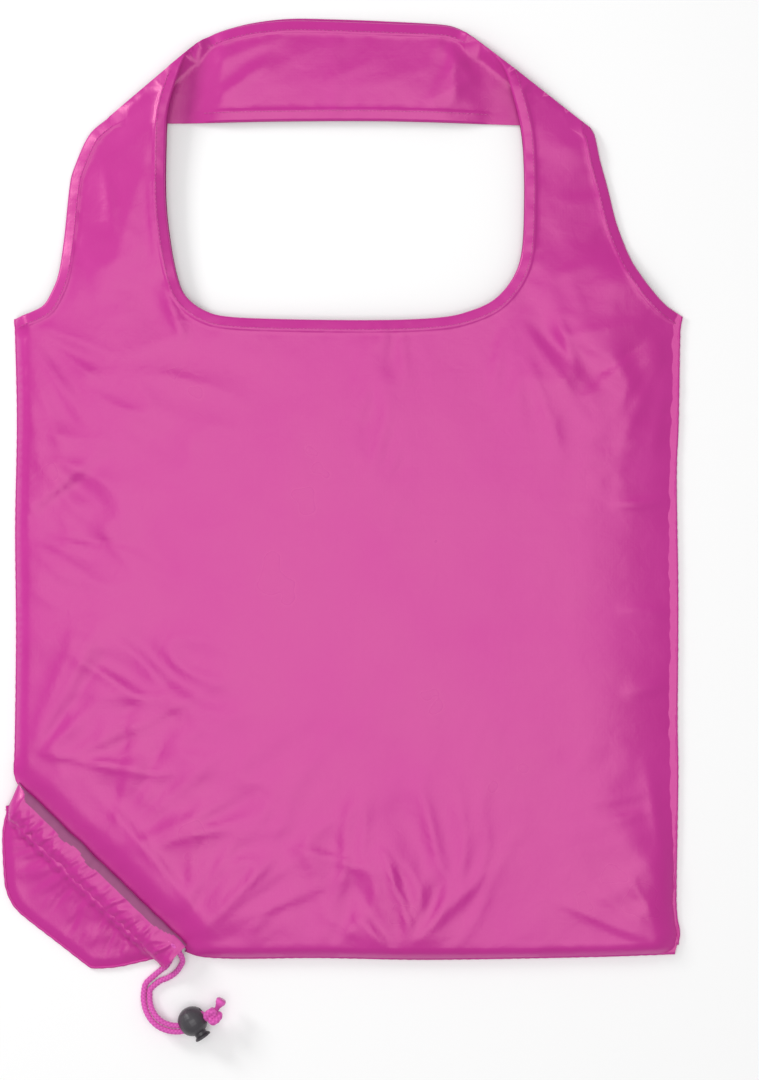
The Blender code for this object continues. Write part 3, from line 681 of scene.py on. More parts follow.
def tube_faces(rings: int, sides: int, first: int = 0) -> list[list[int]]:
    """Join rings of points into a tube with closed ends.

    Args:
        rings: How many rings there are.
        sides: Points in each ring.
        first: Number of the first ring's first point.

    Returns:
        The corner numbers of each face.
    """
    faces = []
    for near in range(first, first + (rings - 1) * sides, sides):
        for corner in range(sides):
            after = (corner + 1) % sides
            faces.append([near + corner, near + after, near + sides + after, near + sides + corner])
    last = first + (rings - 1) * sides
    faces.append(list(range(first, first + sides))[::-1])
    faces.append(list(range(last, last + sides)))
    return faces


@dataclass
class StitchRow:
    """A lockstitch seam: short thread floats that dip into the cloth at each hole."""

    pitch: float = 2.6
    length: float = 2.1
    thickness: float = 0.38
    sides: int = 5
    shares: tuple[float, ...] = (-0.5, -0.3, 0.0, 0.3, 0.5)
    sizes: tuple[float, ...] = (0.25, 0.85, 1.0, 0.85, 0.25)
    lifts: tuple[float, ...] = (-0.1, 0.05, 0.1, 0.05, -0.1)

    def geometry(self, path: np.ndarray) -> tuple[list[np.ndarray], list[list[int]]]:
        """Make the floats along a path.

        Args:
            path: Points as (x, y, z), on the cloth.

        Returns:
            Their points and faces.
        """
        places: list[np.ndarray] = []
        faces: list[list[int]] = []
        reach = reach_along(path)
        for start in np.arange(self.pitch / 2, reach[-1] - self.pitch / 2, self.pitch):
            stations = start + self.length * np.array(self.shares)
            spine = np.column_stack([np.interp(stations, reach, axis) for axis in path.T])
            along = spine[-1] - spine[0]
            along = along / max(np.linalg.norm(along), 1e-9)
            side = np.cross(along, (0, 0, 1.0))
            side = side / max(np.linalg.norm(side), 1e-9)
            up = np.cross(side, along)
            faces += tube_faces(len(self.sizes), self.sides, len(places))
            for spot, size, lift in zip(spine, self.sizes, self.lifts):
                for turn in math.tau / self.sides * np.arange(self.sides):
                    out = self.thickness / 2 * size
                    places.append(spot + up * (lift + out * math.sin(turn)) + side * out * math.cos(turn))
        return places, faces

    def build(self, name: str, paths: Sequence[np.ndarray],
              finish: bpy.types.Material) -> bpy.types.Object:
        """Make one object of several rows of stitches.

        Args:
            name: The object's name.
            paths: A row's points as (x, y, z), for each row.
            finish: The thread's material.

        Returns:
            The object.
        """
        places: list[np.ndarray] = []
        faces: list[list[int]] = []
        for path in paths:
            more, new = self.geometry(path)
            faces += [[index + len(places) for index in face] for face in new]
            places += more
        return new_mesh(name, np.array(places), faces, finish)


def tube_mesh(name: str, path: np.ndarray, radius: Callable[[float, float], float], sides: int,
              finish: bpy.types.Material) -> bpy.types.Object:
    """Sweep a round section along a path.

    Args:
        name: The object's name.
        path: Points as (x, y, z).
        radius: Gives the radius for a share of the way round and a distance along the path.
        sides: Corners of the section.
        finish: The material.

    Returns:
        The object, with a yarn_height attribute from 0 in the deepest spot to 1 in the highest.
    """
    run = np.gradient(path, axis=0)
    run /= np.linalg.norm(run, axis=1)[:, None]
    side = np.cross(run[0], (0.0, 0.0, 1.0))
    side /= max(np.linalg.norm(side), 1e-9)
    places, sizes = [], []
    for spot, along, station in zip(path, run, reach_along(path)):
        side = side - along * (side @ along)
        side /= np.linalg.norm(side)
        up = np.cross(side, along)
        for corner in range(sides):
            turn = math.tau * corner / sides
            size = radius(corner / sides, station)
            sizes.append(size)
            places.append(spot + size * (side * math.cos(turn) + up * math.sin(turn)))
    made = new_mesh(name, np.array(places), tube_faces(len(path), sides), finish)
    sizes = np.array(sizes)
    spread = (sizes - sizes.min()) / max(sizes.max() - sizes.min(), 1e-9)
    heights = made.data.attributes.new("yarn_height", "FLOAT", "POINT")
    heights.data.foreach_set("value", spread.astype(np.float32))
    bm = bmesh.new()
    bm.from_mesh(made.data)
    bmesh.ops.recalc_face_normals(bm, faces=bm.faces[:])
    bm.to_mesh(made.data)
    bm.free()
    return made


# --- Cord, knot and stop ------------------------------------------------------------------------


@dataclass
class Drawcord:
    """The braided cord's two free strands, from the casing to the knot, and the knot."""

    diameter: float = 3.1
    pair_pitch: float = 3.5
    loop_centre: tuple[float, float] = (-96.737, -387.898)
    loop_radius: float = 17.5
    loop_end: float = -34.0
    level_end: float = -122.0
    floor_start: float = -190.0
    inner_loop_start: float = -195.0
    outer_loop_start: float = -203.0
    loop_step: float = 13.0
    loop_height: float = 8.6
    floor_height: float = 1.8
    casing_exit: tuple[float, float] = (-91.187, -357.998)
    mouth: tuple[float, float] = (0.7193, -0.6947)
    outward: tuple[float, float] = (-0.6947, -0.7193)
    front_height: float = 9.85
    back_height: float = 2.35
    front_depth: float = 5.0
    back_depth: float = 10.0
    buried: float = 12.0
    exit_inset: float = 2.65
    point_step: float = 0.45
    sides: int = 20
    yarn_pitch: float = 2.2
    knot_centre: tuple[float, float, float] = (-75.93, -397.86, 11.6)
    knot_size: float = 9.6
    tail_angle: float = 61.0
    tail_length: float = 6.4

    def loop(self, radius: float, start: float) -> list[tuple[float, float, float]]:
        """Return the loop's points, from where it starts near the pouch to inside the stop.

        Args:
            radius: Distance from the loop's centre.
            start: Angle in degrees where the strand joins the loop.

        Returns:
            The points in order.
        """
        count = round((self.loop_end - start) / self.loop_step)
        angles = np.linspace(start, self.loop_end, count + 1)
        fall = ease((self.level_end - angles) / (self.level_end - self.floor_start))
        return list(zip(
            self.loop_centre[0] + radius * np.cos(np.radians(angles)),
            self.loop_centre[1] + radius * np.sin(np.radians(angles)),
            self.loop_height + (self.floor_height - self.loop_height) * fall,
        ))

    def in_casing(self, before: float, depth: float, height: float) -> tuple[float, float, float]:
        """Return a point of the cord inside the casing.

        Args:
            before: Distance back from the mouth line's end.
            depth: Distance out from the mouth line.
            height: Height above the surface.

        Returns:
            The point.
        """
        return (
            self.casing_exit[0] - before * self.mouth[0] + depth * self.outward[0],
            self.casing_exit[1] - before * self.mouth[1] + depth * self.outward[1],
            height,
        )

    def past_exit(self, x: float, y: float, z: float) -> tuple[float, float, float]:
        """Return a point measured from where the casing's mouth line ends."""
        return self.casing_exit[0] + x, self.casing_exit[1] + y, z

    def front_route(self) -> np.ndarray:
        """Return the strand that leaves the casing's front leg."""
        route = [
            self.in_casing(self.buried, self.front_depth, self.front_height),
            self.in_casing(self.exit_inset, self.front_depth, self.front_height),
            self.past_exit(-2.2, -8.0, self.front_height - 2.4),
            self.past_exit(-3.6, -12.4, self.floor_height + 3.2),
            self.past_exit(-6.6, -16.4, self.floor_height + 1.2),
            self.past_exit(-11.0, -19.4, self.floor_height + 0.2),
            self.past_exit(-15.6, -21.3, self.floor_height),
            *self.loop(self.loop_radius - self.pair_pitch / 2, self.inner_loop_start),
            self.into_knot(-1.0),
        ]
        return smooth_path(route, self.point_step)

    def back_route(self) -> np.ndarray:
        """Return the strand that leaves the casing's back leg."""
        route = [
            self.in_casing(self.buried, self.back_depth, self.back_height),
            self.in_casing(self.exit_inset, self.back_depth, self.back_height),
            self.past_exit(-11.2, -11.8, self.floor_height + 0.3),
            self.past_exit(-14.8, -14.8, self.floor_height + 0.1),
            self.past_exit(-18.8, -18.2, self.floor_height),
            *self.loop(self.loop_radius + self.pair_pitch / 2, self.outer_loop_start),
            self.into_knot(1.0),
        ]
        return smooth_path(route, self.point_step)

    def into_knot(self, side: float) -> tuple[float, float, float]:
        """Return where a strand ends inside the knot."""
        return self.knot_centre[0] - 1.5 + side, self.knot_centre[1] - 0.5, self.knot_centre[2] - 1.2

    def braid(self, around: float, station: float) -> float:
        """Return the strand's radius, which is largest where the yarns cross.

        Args:
            around: Share of the way round the strand.
            station: Distance along the strand.

        Returns:
            The radius.
        """
        turn = 4 * math.tau * around
        slide = math.tau * station / self.yarn_pitch
        crossing = abs(math.sin((turn + slide) / 2)) + abs(math.sin((turn - slide) / 2))
        return self.diameter / 2 * (0.94 + 0.15 * crossing / 1.6)

    def strand(self, name: str, route: np.ndarray, depth: float, height: float,
               finish: bpy.types.Material) -> bpy.types.Object:
        """Make one strand.

        Args:
            name: The object's name.
            route: The strand's points as (x, y, z).
            depth: Distance from the mouth line to where it leaves the casing.
            height: Height at which it leaves the casing.
            finish: The cord's material.

        Returns:
            The object.
        """
        made = tube_mesh(name, route, self.braid, self.sides, finish)
        leaves = BAG.world(np.array(self.in_casing(self.exit_inset, depth, height)))
        path = BAG.world(route[::4])
        float(reach_along(route)[-1]) * MM
        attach(made, "bag")
        return made

    def knot(self, finish: bpy.types.Material) -> bpy.types.Object:
        """Make the overhand knot: one closed turn of cord through itself, pulled tight.

        Args:
            finish: The cord's material.

        Returns:
            The object.
        """
        turns = np.linspace(0, math.tau, 120, endpoint=False)
        along = math.radians(self.tail_angle)
        shape = (self.knot_size - self.diameter) / 6 * np.column_stack([
            -2.4 * np.sin(3 * turns),
            1.1 * (np.sin(turns) + 2 * np.sin(2 * turns)),
            0.85 * (np.cos(turns) - 2 * np.cos(2 * turns)),
        ])
        axes = np.array([
            (math.cos(along), math.sin(along), 0), (-math.sin(along), math.cos(along), 0), (0, 0, 1),
        ])
        path = np.array(self.knot_centre) + shape @ axes
        path = np.vstack([path, path[:2]])

        def radius(around: float, station: float) -> float:
            """Return the radius of the cord in the knot, where the turns bulge it."""
            return 1.16 * self.braid(around, station)

        made = tube_mesh("drawcord_knot", path, radius, self.sides, finish)
        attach(made, "bag")
        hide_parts("cord_knot")
        return made

    def tail(self, finish: bpy.types.Material) -> bpy.types.Object:
        """Make the cord's cut ends past the knot, melted together so that they flare.

        Args:
            finish: The cord's material.

        Returns:
            The object.
        """
        along = math.radians(self.tail_angle)
        axis = np.array([math.cos(along), math.sin(along), 0.0])
        start = np.array(self.knot_centre) + axis * 1.5
        stations = np.linspace(0, self.knot_size / 2 - 1.5 + self.tail_length, 40)
        path = np.array([start + axis * s + np.array([0, 0, 0.05 * s]) for s in stations])
        neck = self.knot_size / 2 - 1.0

        def radius(around: float, station: float) -> float:
            """Return the tail's radius, with a groove where the two ends meet."""
            past = max(station - neck, 0) / (stations[-1] - neck)
            flare = 1.7 + 1.9 * math.sin(min(past * 1.25, 1.0) * math.pi / 2) ** 2
            flare *= 1 - 0.25 * max(past - 0.85, 0) / 0.15
            groove = 1 - 0.22 * abs(math.cos(math.tau * around)) ** 6
            return flare * groove * (1 + 0.05 * math.sin(9 * math.tau * around + 3 * station))

        made = tube_mesh("drawcord_tail", path, radius, 28, finish)
        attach(made, "bag")
        return made

    def build(self, finish: bpy.types.Material) -> None:
        """Make the knot, its tail and both strands."""
        knot = self.knot(finish)
        tail = self.tail(finish)
        front = self.strand("drawcord_front_strand", self.front_route(), self.front_depth,
                            self.front_height, finish)
        self.strand("drawcord_back_strand", self.back_route(), self.back_depth,
                    self.back_height, finish)
        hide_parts("drawcord")
        lengths = [reach_along(route)[-1] for route in (self.front_route(), self.back_route())]
        log.info("drawcord: strands of %.0f and %.0f mm", *lengths)


@dataclass
class CordStop:
    """The spring-loaded ball stop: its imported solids, dressed."""

    plastic_nodes: tuple[str, ...] = ("stop_body", "stop_plunger")
    spring_node: str = "stop_spring"

    def dress(self, plastic: bpy.types.Material, wire: bpy.types.Material) -> None:
        """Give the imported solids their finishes.

        Args:
            plastic: The material of the ball and the plunger.
            wire: The material of the spring.
        """
        for name, finish in [(node, plastic) for node in self.plastic_nodes] + [(self.spring_node, wire)]:
            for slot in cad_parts[name].material_slots:
                slot.material = finish
        log.info("cord stop: dressed %s and %s", ", ".join(self.plastic_nodes), self.spring_node)


# --- Bag -------------------------------------------------------------------------------------------


@dataclass
class BagCut:
    """The bag's outline, as it lies."""

    left_armhole: Points = (
        (-189.3, -0.4), (-184, 1.6), (-179, 3.6), (-172.8, 7), (-168.6, 13.6), (-164.2, 25.1),
        (-161.4, 45.1), (-158.5, 73.8), (-155.7, 86), (-147.1, 104.5), (-136.8, 113.9),
    )
    left_shoulder: Points = ((-136.8, 113.9), (-84.0, 157.4))
    neck: Points = (
        (-84.0, 157.4), (-91.5, 149), (-97.5, 133), (-101.8, 116), (-102.9, 95), (-102.9, 68), (-100.6, 45.1),
        (-96.5, 24), (-91.5, 12.5), (-81.2, 4.4), (-66.8, 0.6), (-30, -0.9), (20, -1.3), (53.5, 0.2),
        (70.7, 3.9), (85, 10.8), (95.5, 23.5), (100.5, 39.4), (101.8, 68), (101.2, 95), (99, 112),
        (94.7, 128.2),
        (90.5, 141), (83, 150.8), (70.7, 161.5),
    )
    right_shoulder: Points = ((70.7, 161.5), (139.4, 109.3))
    right_armhole: Points = (
        (139.4, 109.3), (142.3, 104.5), (145.2, 90.9), (149.8, 73.8), (154.9, 53.7), (162.4, 34.8),
        (168.1, 25.1), (174.5, 16.5), (182.4, 8), (191.8, 1.2),
    )
    right_side: Points = (
        (191.8, 1.2), (190.4, -8), (189.4, -60), (188.3, -92), (189.2, -160), (188.8, -230), (189.2, -264),
        (188.2, -333), (190.2, -352), (188.2, -363),
    )
    bottom: Points = (
        (188.2, -363), (150, -364.4), (95, -365.6), (40, -366.2), (-15, -365.2), (-60, -365.6),
        (-82, -364.6), (-92, -361.5),
    )
    left_side: Points = (
        (-187.4, -266.3), (-189.4, -261), (-188.8, -240), (-188.1, -180), (-188.6, -120), (-187.6, -60),
        (-188.6, -12), (-189.3, -0.4),
    )
    band_top: Points = (
        (70.7, 161.5), (64, 165.2), (53.5, 167.2), (22, 168.5), (-3.8, 169.4), (-32.5, 170), (-55.4, 167.6),
        (-74, 162.8), (-84.0, 157.4),
    )
    band_bottom: Points = (
        (-136.8, 113.9), (-100, 111.6), (-40, 112.6), (20, 112.8), (80, 111.2), (139.4, 109.3),
    )


@dataclass
class PouchPlace:
    """The pouch's own axes: u along its mouth from the left, w out over its depth."""

    corner: tuple[float, float] = (-186.5, -265.955)
    mouth: tuple[float, float] = (0.7193, -0.6947)
    outward: tuple[float, float] = (-0.6947, -0.7193)
    length: float = 132.5
    casing_width: float = 16.0

    def point(self, u: float, w: float) -> tuple[float, float]:
        """Return the bag coordinates of a point on the pouch's axes."""
        return (
            self.corner[0] + u * self.mouth[0] + w * self.outward[0],
            self.corner[1] + u * self.mouth[1] + w * self.outward[1],
        )

    def axes(self, places: np.ndarray) -> tuple[np.ndarray, np.ndarray]:
        """Return u and w of each (x, y)."""
        away = places - np.array(self.corner)
        return away @ np.array(self.mouth), away @ np.array(self.outward)


@dataclass
class BagLayer:
    """One of the bag's two cloths with its straps, its folded handle band, hems and stitches."""

    face: Face
    cut: BagCut = field(default_factory=BagCut)
    pouch: PouchPlace = field(default_factory=PouchPlace)
    hem: Hem = field(default_factory=Hem)
    spacing: float = 2.8
    edge_step: float = 2.4
    top_level: float = 8.4
    seam_level: float = 2.8
    mouth_level: float = 5.8
    ramp: float = 15.0
    band_drop: float = 3.2
    seam_x: float = -6.0
    bend_reach: tuple[float, float] = (-2.5, 3.5)
    front_hinge: float = 9.1
    back_hinge: float = -0.3
    stitch_inset: float = 5.4
    stitch_lift: float = 0.12
    band_stitch_reach: float = 84.0

    def __post_init__(self) -> None:
        """Work out the finely spaced edges."""
        cut, step = self.cut, self.edge_step
        if self.face is Face.BACK:
            cut.band_top = tuple((x, y + 1.6 * (1 - (x / 90) ** 2)) for x, y in cut.band_top)
        self.left_armhole = smooth_path(cut.left_armhole, step)
        self.neck = smooth_path(cut.neck, step)
        self.right_armhole = smooth_path(cut.right_armhole, step)
        self.left_shoulder = smooth_path(cut.left_shoulder, step)
        self.right_shoulder = smooth_path(cut.right_shoulder, step)
        self.right_side = smooth_path(cut.right_side, step)
        self.bottom = smooth_path(cut.bottom, step)
        self.left_side = smooth_path(cut.left_side, step)
        self.band_top = smooth_path(cut.band_top, step)
        self.band_bottom = smooth_path(cut.band_bottom, step)
        tongue = [(130, 1.5), (120, 6), (104, 22), (60, 27), (30, 24), (12, 6), (0.8, 0.8)]
        self.tongue = np.array([self.pouch.point(u, w) for u, w in tongue])
        self.wrinkles = front_wrinkles() if self.face is Face.FRONT else back_wrinkles()

    def panel_outline(self) -> np.ndarray:
        """Return the closed outline of the panel and both straps, counterclockwise."""
        clockwise = [
            self.left_armhole, self.left_shoulder, self.neck, self.right_shoulder, self.right_armhole,
            self.right_side, self.bottom, self.tongue, self.left_side,
        ]
        joined = np.vstack([path[:-1] if path is not self.tongue else path for path in clockwise])
        return joined[::-1]

    def mirror(self, level: np.ndarray) -> np.ndarray:
        """Turn heights drawn for the front into the back's, which lies pressed against the surface."""
        if self.face is Face.FRONT:
            return level
        pressed = 0.9 + 0.22 * (self.top_level - level)
        return np.maximum(pressed, 0.48)

    def left_flank(self, places: np.ndarray) -> np.ndarray:
        """Return the left strap's flank, which falls away from a crest towards the armhole.

        Args:
            places: Points as an array of (x, y).

        Returns:
            What the flank adds to the height at each point.
        """
        crest = np.array([(-131.0, 34.0), (-105.0, 120.0)])
        run = crest[1] - crest[0]
        across = (places - crest[0]) @ np.array([-run[1], run[0]]) / np.hypot(*run)
        lift = 2.2 * np.exp(-(np.minimum(across, 0) / 22) ** 2)
        level = lift - 0.2 * np.maximum(across, 0)
        return level * ease((places[:, 1] - 14) / 34) * ease((-70 - places[:, 0]) / 20)

    def panel_height(self, places: np.ndarray) -> np.ndarray:
        """Return the height of the panel and its straps.

        Args:
            places: Points as an array of (x, y).

        Returns:
            The height at each point.
        """
        broad = 16 + 44 * ease((places[:, 1] + 325) / 60)
        sides = [(self.left_side, 7.0), (self.bottom, 6.0), (self.right_side, broad)]
        loft = np.ones(len(places))
        for path, reach in sides:
            gap, _ = nearest(places, path)
            loft *= 1 - (1 - np.clip(gap / reach, 0, 1)) ** 2.2
        level = self.seam_level + (self.top_level - self.seam_level) * loft
        gap, _ = nearest(places, self.right_side)
        level -= 1.6 * (1 - np.clip(gap / broad, 0, 1)) ** 2.2
        gap, _ = nearest(places, self.right_armhole)
        level -= 6.0 * np.clip(1 - gap / 50, 0, 1) * ease((places[:, 1] - 16) / 30)
        level += self.left_flank(places)
        folds = np.zeros(len(places))
        for wrinkle in self.wrinkles:
            folds += wrinkle.rise(places)
        folds += 0.35 * wander(places, 46, 1.3) + 0.16 * wander(places, 17, 5.1)
        calm = np.ones(len(places))
        hems = np.zeros(len(places))
        for path in (self.left_armhole, self.neck, self.right_armhole):
            gap, along = nearest(places, path)
            calm *= 0.35 + 0.65 * ease(gap / 12)
            near = gap < 16
            hems[near] += self.hem.lift(gap[near], along[near])
        for path in (self.left_side, self.bottom, self.right_side):
            gap, along = nearest(places, path)
            calm *= 0.3 + 0.7 * ease(gap / 14)
            pucker = np.column_stack([along, gap * 0.3])
            hems += 0.5 * wander(pucker, 6.5, 8.8) * np.exp(-(gap / 7) ** 2)
        for path in (self.left_shoulder, self.right_shoulder):
            gap, _ = nearest(places, path)
            fall = np.clip(1 - gap / 1.6, 0, 1)
            hems -= 0.8 * (1 - np.sqrt(np.maximum(1 - fall ** 2, 0)))
            level += 1.4 * np.exp(-((gap - 18) / 14) ** 2) * ease((places[:, 1] - 80) / 20)
        u, w = self.pouch.axes(places)
        near_mouth = ease(1 + w / self.ramp) * ease((150 - u) / 20)
        tucked = self.mouth_level - 0.11 * np.clip(w, 0, 27)
        level = level + (tucked - level) * near_mouth
        calm *= 1 - 0.5 * near_mouth
        return self.mirror(level + folds * calm + hems)

    def band_height(self, places: np.ndarray) -> np.ndarray:
        """Return the height of the folded handle band, which meets the straps at the shoulder folds.

        Args:
            places: Points as an array of (x, y).

        Returns:
            The height at each point.
        """
        level = np.full(len(places), self.top_level - self.band_drop)
        arch = 1 - np.clip(np.abs(places[:, 0]) / 80, 0, 1) ** 2
        level += 1.0 * arch * np.sin(np.clip((places[:, 1] - 112) / 56, 0, 1) * math.pi)
        level -= 3.8 * ease((-places[:, 0] - 68) / 30) + 3.8 * ease((places[:, 0] - 54) / 34)
        hems = np.zeros(len(places))
        calm = np.ones(len(places))
        for path in (self.band_top, self.band_bottom):
            gap, along = nearest(places, path)
            calm *= 0.3 + 0.7 * ease(gap / 12)
            near = gap < 16
            hems[near] += self.hem.lift(gap[near], along[near])
        hems *= ease((86 - np.abs(places[:, 0])) / 14)
        folds = np.zeros(len(places))
        for wrinkle in band_wrinkles():
            folds += wrinkle.rise(places)
        folds += 0.3 * wander(places, 30, 2.6)
        folds = np.minimum(folds * calm, 0.5 + 2.0 * ease((76 - np.abs(places[:, 0])) / 10))
        lap = np.exp(-((places[:, 0] - self.seam_x) / 4.0) ** 6)
        hems += 0.2 * lap
        level = self.mirror_band(level + folds + hems)
        strap = self.panel_height(places) + (-0.7 if self.face is Face.FRONT else 0.5)
        for path in (self.left_shoulder, self.right_shoulder):
            gap, _ = nearest(places, path)
            level += (strap - level) * (1 - ease(gap / 8))
        return level

    def mirror_band(self, level: np.ndarray) -> np.ndarray:
        """Turn the front band's heights into the back's, which lies above the back's straps."""
        if self.face is Face.FRONT:
            return level
        return 2.2 + 0.3 * (level - self.top_level + self.band_drop)

    def build(self, cloth: bpy.types.Material, thread: bpy.types.Material) -> None:
        """Make the panel with its straps, the band, and their stitches.

        Args:
            cloth: The cloth's material.
            thread: The stitches' material.
        """
        side = self.face.value
        up = self.face is Face.FRONT
        outline = self.panel_outline()
        free = [self.left_armhole[::-1], self.neck[::-1], self.right_armhole[::-1]]
        sheet = Sheet(f"{side}_cloth", outline, self.spacing, free, self.hem)
        panel = sheet.build(self.panel_height, cloth, up)
        handle = f"{side}_handle"
        hinge_z = self.front_hinge if up else self.back_hinge
        self.bend(panel, hinge_z)
        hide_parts(f"{side}_panel", f"{side}_neck_hem", f"{handle}_left", f"{handle}_right")
        band_rim = np.vstack([
            self.band_bottom[:-1], self.right_shoulder[::-1][:-1],
            self.band_top[:-1], self.left_shoulder[::-1][:-1],
        ])
        edges = [self.band_bottom, self.band_top]
        band = Sheet(f"{side}_handle_band", band_rim, self.spacing, edges, self.hem)
        band_cloth = band.build(self.band_height, cloth, up)
        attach(band_cloth, handle)
        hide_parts(f"{handle}_seam")
        self.sew(handle, hinge_z, thread)
        log.info("%s layer: %d and %d points", side, len(panel.data.vertices), len(band_cloth.data.vertices))

    def bend(self, piece: bpy.types.Object, hinge_z: float) -> None:
        """Bake a piece's place into its mesh; the ends of the handle's fold line are worked out but not used,
        so nothing bends.

        Args:
            piece: The cloth or its stitches.
            hinge_z: Height of the fold line.
        """
        start, end = BAG.world(np.array([(0, y, hinge_z) for y in self.bend_reach]))
        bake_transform(piece)

    def sew(self, handle: str, hinge_z: float, thread: bpy.types.Material) -> None:
        """Make the stitches of the hems and of the band's edges.

        Args:
            handle: The body that the straps and the band follow.
            hinge_z: Height of the handle's fold line.
            thread: The stitches' material.
        """
        offset = self.stitch_lift if self.face is Face.FRONT else -self.stitch_lift
        rows = []
        for path in (self.left_armhole[::-1], self.neck[::-1], self.right_armhole[::-1]):
            row = offset_path(path, self.stitch_inset)
            row = row[inside(row, self.panel_outline())]
            rows.append(np.column_stack([row, self.panel_height(row) + offset]))
        stitches = StitchRow().build(f"{self.face.value}_hem_stitches", rows, thread)
        self.bend(stitches, hinge_z)
        rows = []
        for path in (self.band_bottom, self.band_top):
            row = offset_path(path, self.stitch_inset)
            row = row[np.abs(row[:, 0]) < self.band_stitch_reach]
            rows.append(np.column_stack([row, self.band_height(row) + offset]))
        seams = StitchRow().build(f"{self.face.value}_band_stitches", rows, thread)
        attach(seams, handle)


def front_wrinkles() -> list:
    """Return the front cloth's folds: where the cloth is held at its corners and where it was packed."""
    fans = [
        Fan((-189, 0), (-88, -20), 8, 16, 90, 1.0, 4.5, 11),
        Fan((-192, -120), (-40, 42), 9, 8, 60, 1.2, 4.0, 12),
        Fan((-186, -262), (0, 70), 9, 10, 110, 1.1, 5.0, 13),
        Fan((-138, -308), (14, 80), 8, 12, 95, 1.0, 5.0, 14),
        Fan((-92, -356), (12, 88), 8, 10, 80, 1.2, 4.5, 15),
        Fan((92, 8), (-100, -30), 6, 14, 70, 1.2, 5.0, 16),
        Fan((189, -2), (-175, -100), 7, 12, 80, 1.1, 5.0, 17),
        Fan((188, -362), (98, 165), 7, 10, 80, 1.0, 4.5, 18),
        Fan((30, -366), (30, 150), 9, 8, 60, 1.2, 4.5, 19),
        Fan((-160, 60), (-95, -60), 4, 6, 60, 0.5, 5.0, 20),
    ]
    singles = [
        Crease((-112, 90), (-106, 20), 1.6, 3.6, 0.7),
        Crease((-138, 88), (-132, 44), 1.0, 3.4),
        Crease((-150, 96), (-104, 138), 1.0, 4.0, 0.4),
        Crease((-104, 22), (-92, -14), 1.4, 3.0),
        Crease((-160, -190), (-110, -222), 1.6, 4.5),
        Crease((-182, -246), (-96, -262), 1.4, 4.0, 0.7),
        Crease((-150, -262), (-74, -352), 1.5, 4.5, 0.3),
        Crease((20, -300), (38, -352), 1.8, 3.0, 0.3),
        Crease((22, -318), (-38, -300), 1.3, 4.5, 0.7),
        Crease((170, -250), (186, -330), 1.2, 5.0, 0.6),
        Crease((188, -104), (150, -108), 1.3, 3.4),
        Crease((188, -170), (154, -166), 1.0, 3.4),
        Crease((188, -210), (158, -214), 1.1, 3.6),
    ]
    patches = [
        Rumple((-145, -70), (60, 110), -35, 1.3, 22),
        Rumple((-130, -215), (72, 60), -30, 1.5, 20),
        Rumple((-70, -310), (80, 50), 35, 1.5, 20),
        Rumple((35, -315), (60, 52), 78, 1.8, 19),
        Rumple((120, -20), (50, 30), -60, 1.4, 18),
        Rumple((160, -300), (26, 60), 10, 1.2, 16),
        Rumple((160, -60), (26, 50), 0, 1.0, 14),
        Rumple((20, -20), (80, 18), 90, 0.9, 13),
        Rumple((-135, 30), (20, 40), 0, 0.7, 18),
        Rumple((135, 50), (18, 50), 10, 0.7, 15),
    ]
    return [crease for fan in fans for crease in fan.creases()] + singles + patches


def back_wrinkles() -> list:
    """Return the back cloth's folds, which the bag's weight has pressed flatter."""
    fans = [
        Fan((189, -120), (140, 220), 7, 8, 70, 1.6, 5.0, 31),
        Fan((-186, -262), (0, 70), 7, 10, 100, 1.8, 5.5, 32),
        Fan((-92, -356), (12, 88), 7, 10, 80, 1.6, 5.0, 33),
        Fan((40, -366), (30, 150), 7, 8, 70, 1.6, 5.0, 34),
        Fan((-92, 8), (-140, -70), 5, 14, 70, 1.6, 5.0, 35),
    ]
    patches = [
        Rumple((120, -120), (60, 90), 30, 2.4, 20),
        Rumple((-90, -220), (80, 60), -30, 2.4, 20),
        Rumple((60, -320), (70, 40), 60, 2.2, 18),
    ]
    return [crease for fan in fans for crease in fan.creases()] + patches


def band_wrinkles() -> list:
    """Return the handle band's folds."""
    return [
        Crease((-92, 112), (-40, 150), 1.2, 5.0, 0.3),
        Crease((-90, 140), (-30, 164), 1.0, 5.0, 0.6),
        Crease((40, 118), (92, 150), 1.0, 4.0, 0.6),
        Crease((62, 122), (60, 160), 1.2, 3.0, 0.3),
        Crease((50, 160), (80, 130), 0.9, 3.0, 0.3),
        Rumple((70, 140), (20, 22), 60, 0.9, 10),
        Rumple((-70, 140), (26, 22), 30, 0.7, 13),
        Rumple((0, 140), (60, 20), 0, 0.4, 18),
    ]


@dataclass
class SewnEdges:
    """The closed French seams down both sides and along the bottom, each a soft puckered welt."""

    layer: BagLayer
    welt: float = 1.0
    level: float = 1.5

    def build(self, cloth: bpy.types.Material) -> None:
        """Make the three seams."""
        layer = self.layer
        for name, path in (
            ("side_seam_left", layer.left_side),
            ("side_seam_right", layer.right_side),
            ("bottom_seam", layer.bottom),
        ):
            fine = smooth_path(path[::3], 1.2)
            wave = wander_along(np.arange(len(fine)) * 1.2, 9, 4.4)
            route = np.column_stack([fine, self.level + 0.25 * wave])

            def radius(around: float, station: float) -> float:
                """Return the welt's radius, pinched a little at each stitch."""
                return self.welt * (1 + 0.1 * math.sin(math.tau * station / 5.2) * math.sin(station / 11))

            welt = tube_mesh(name + "_welt", route, radius, 12, cloth)
            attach(welt, "bag")
            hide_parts(name)
        log.info("sewn edges: three welts")


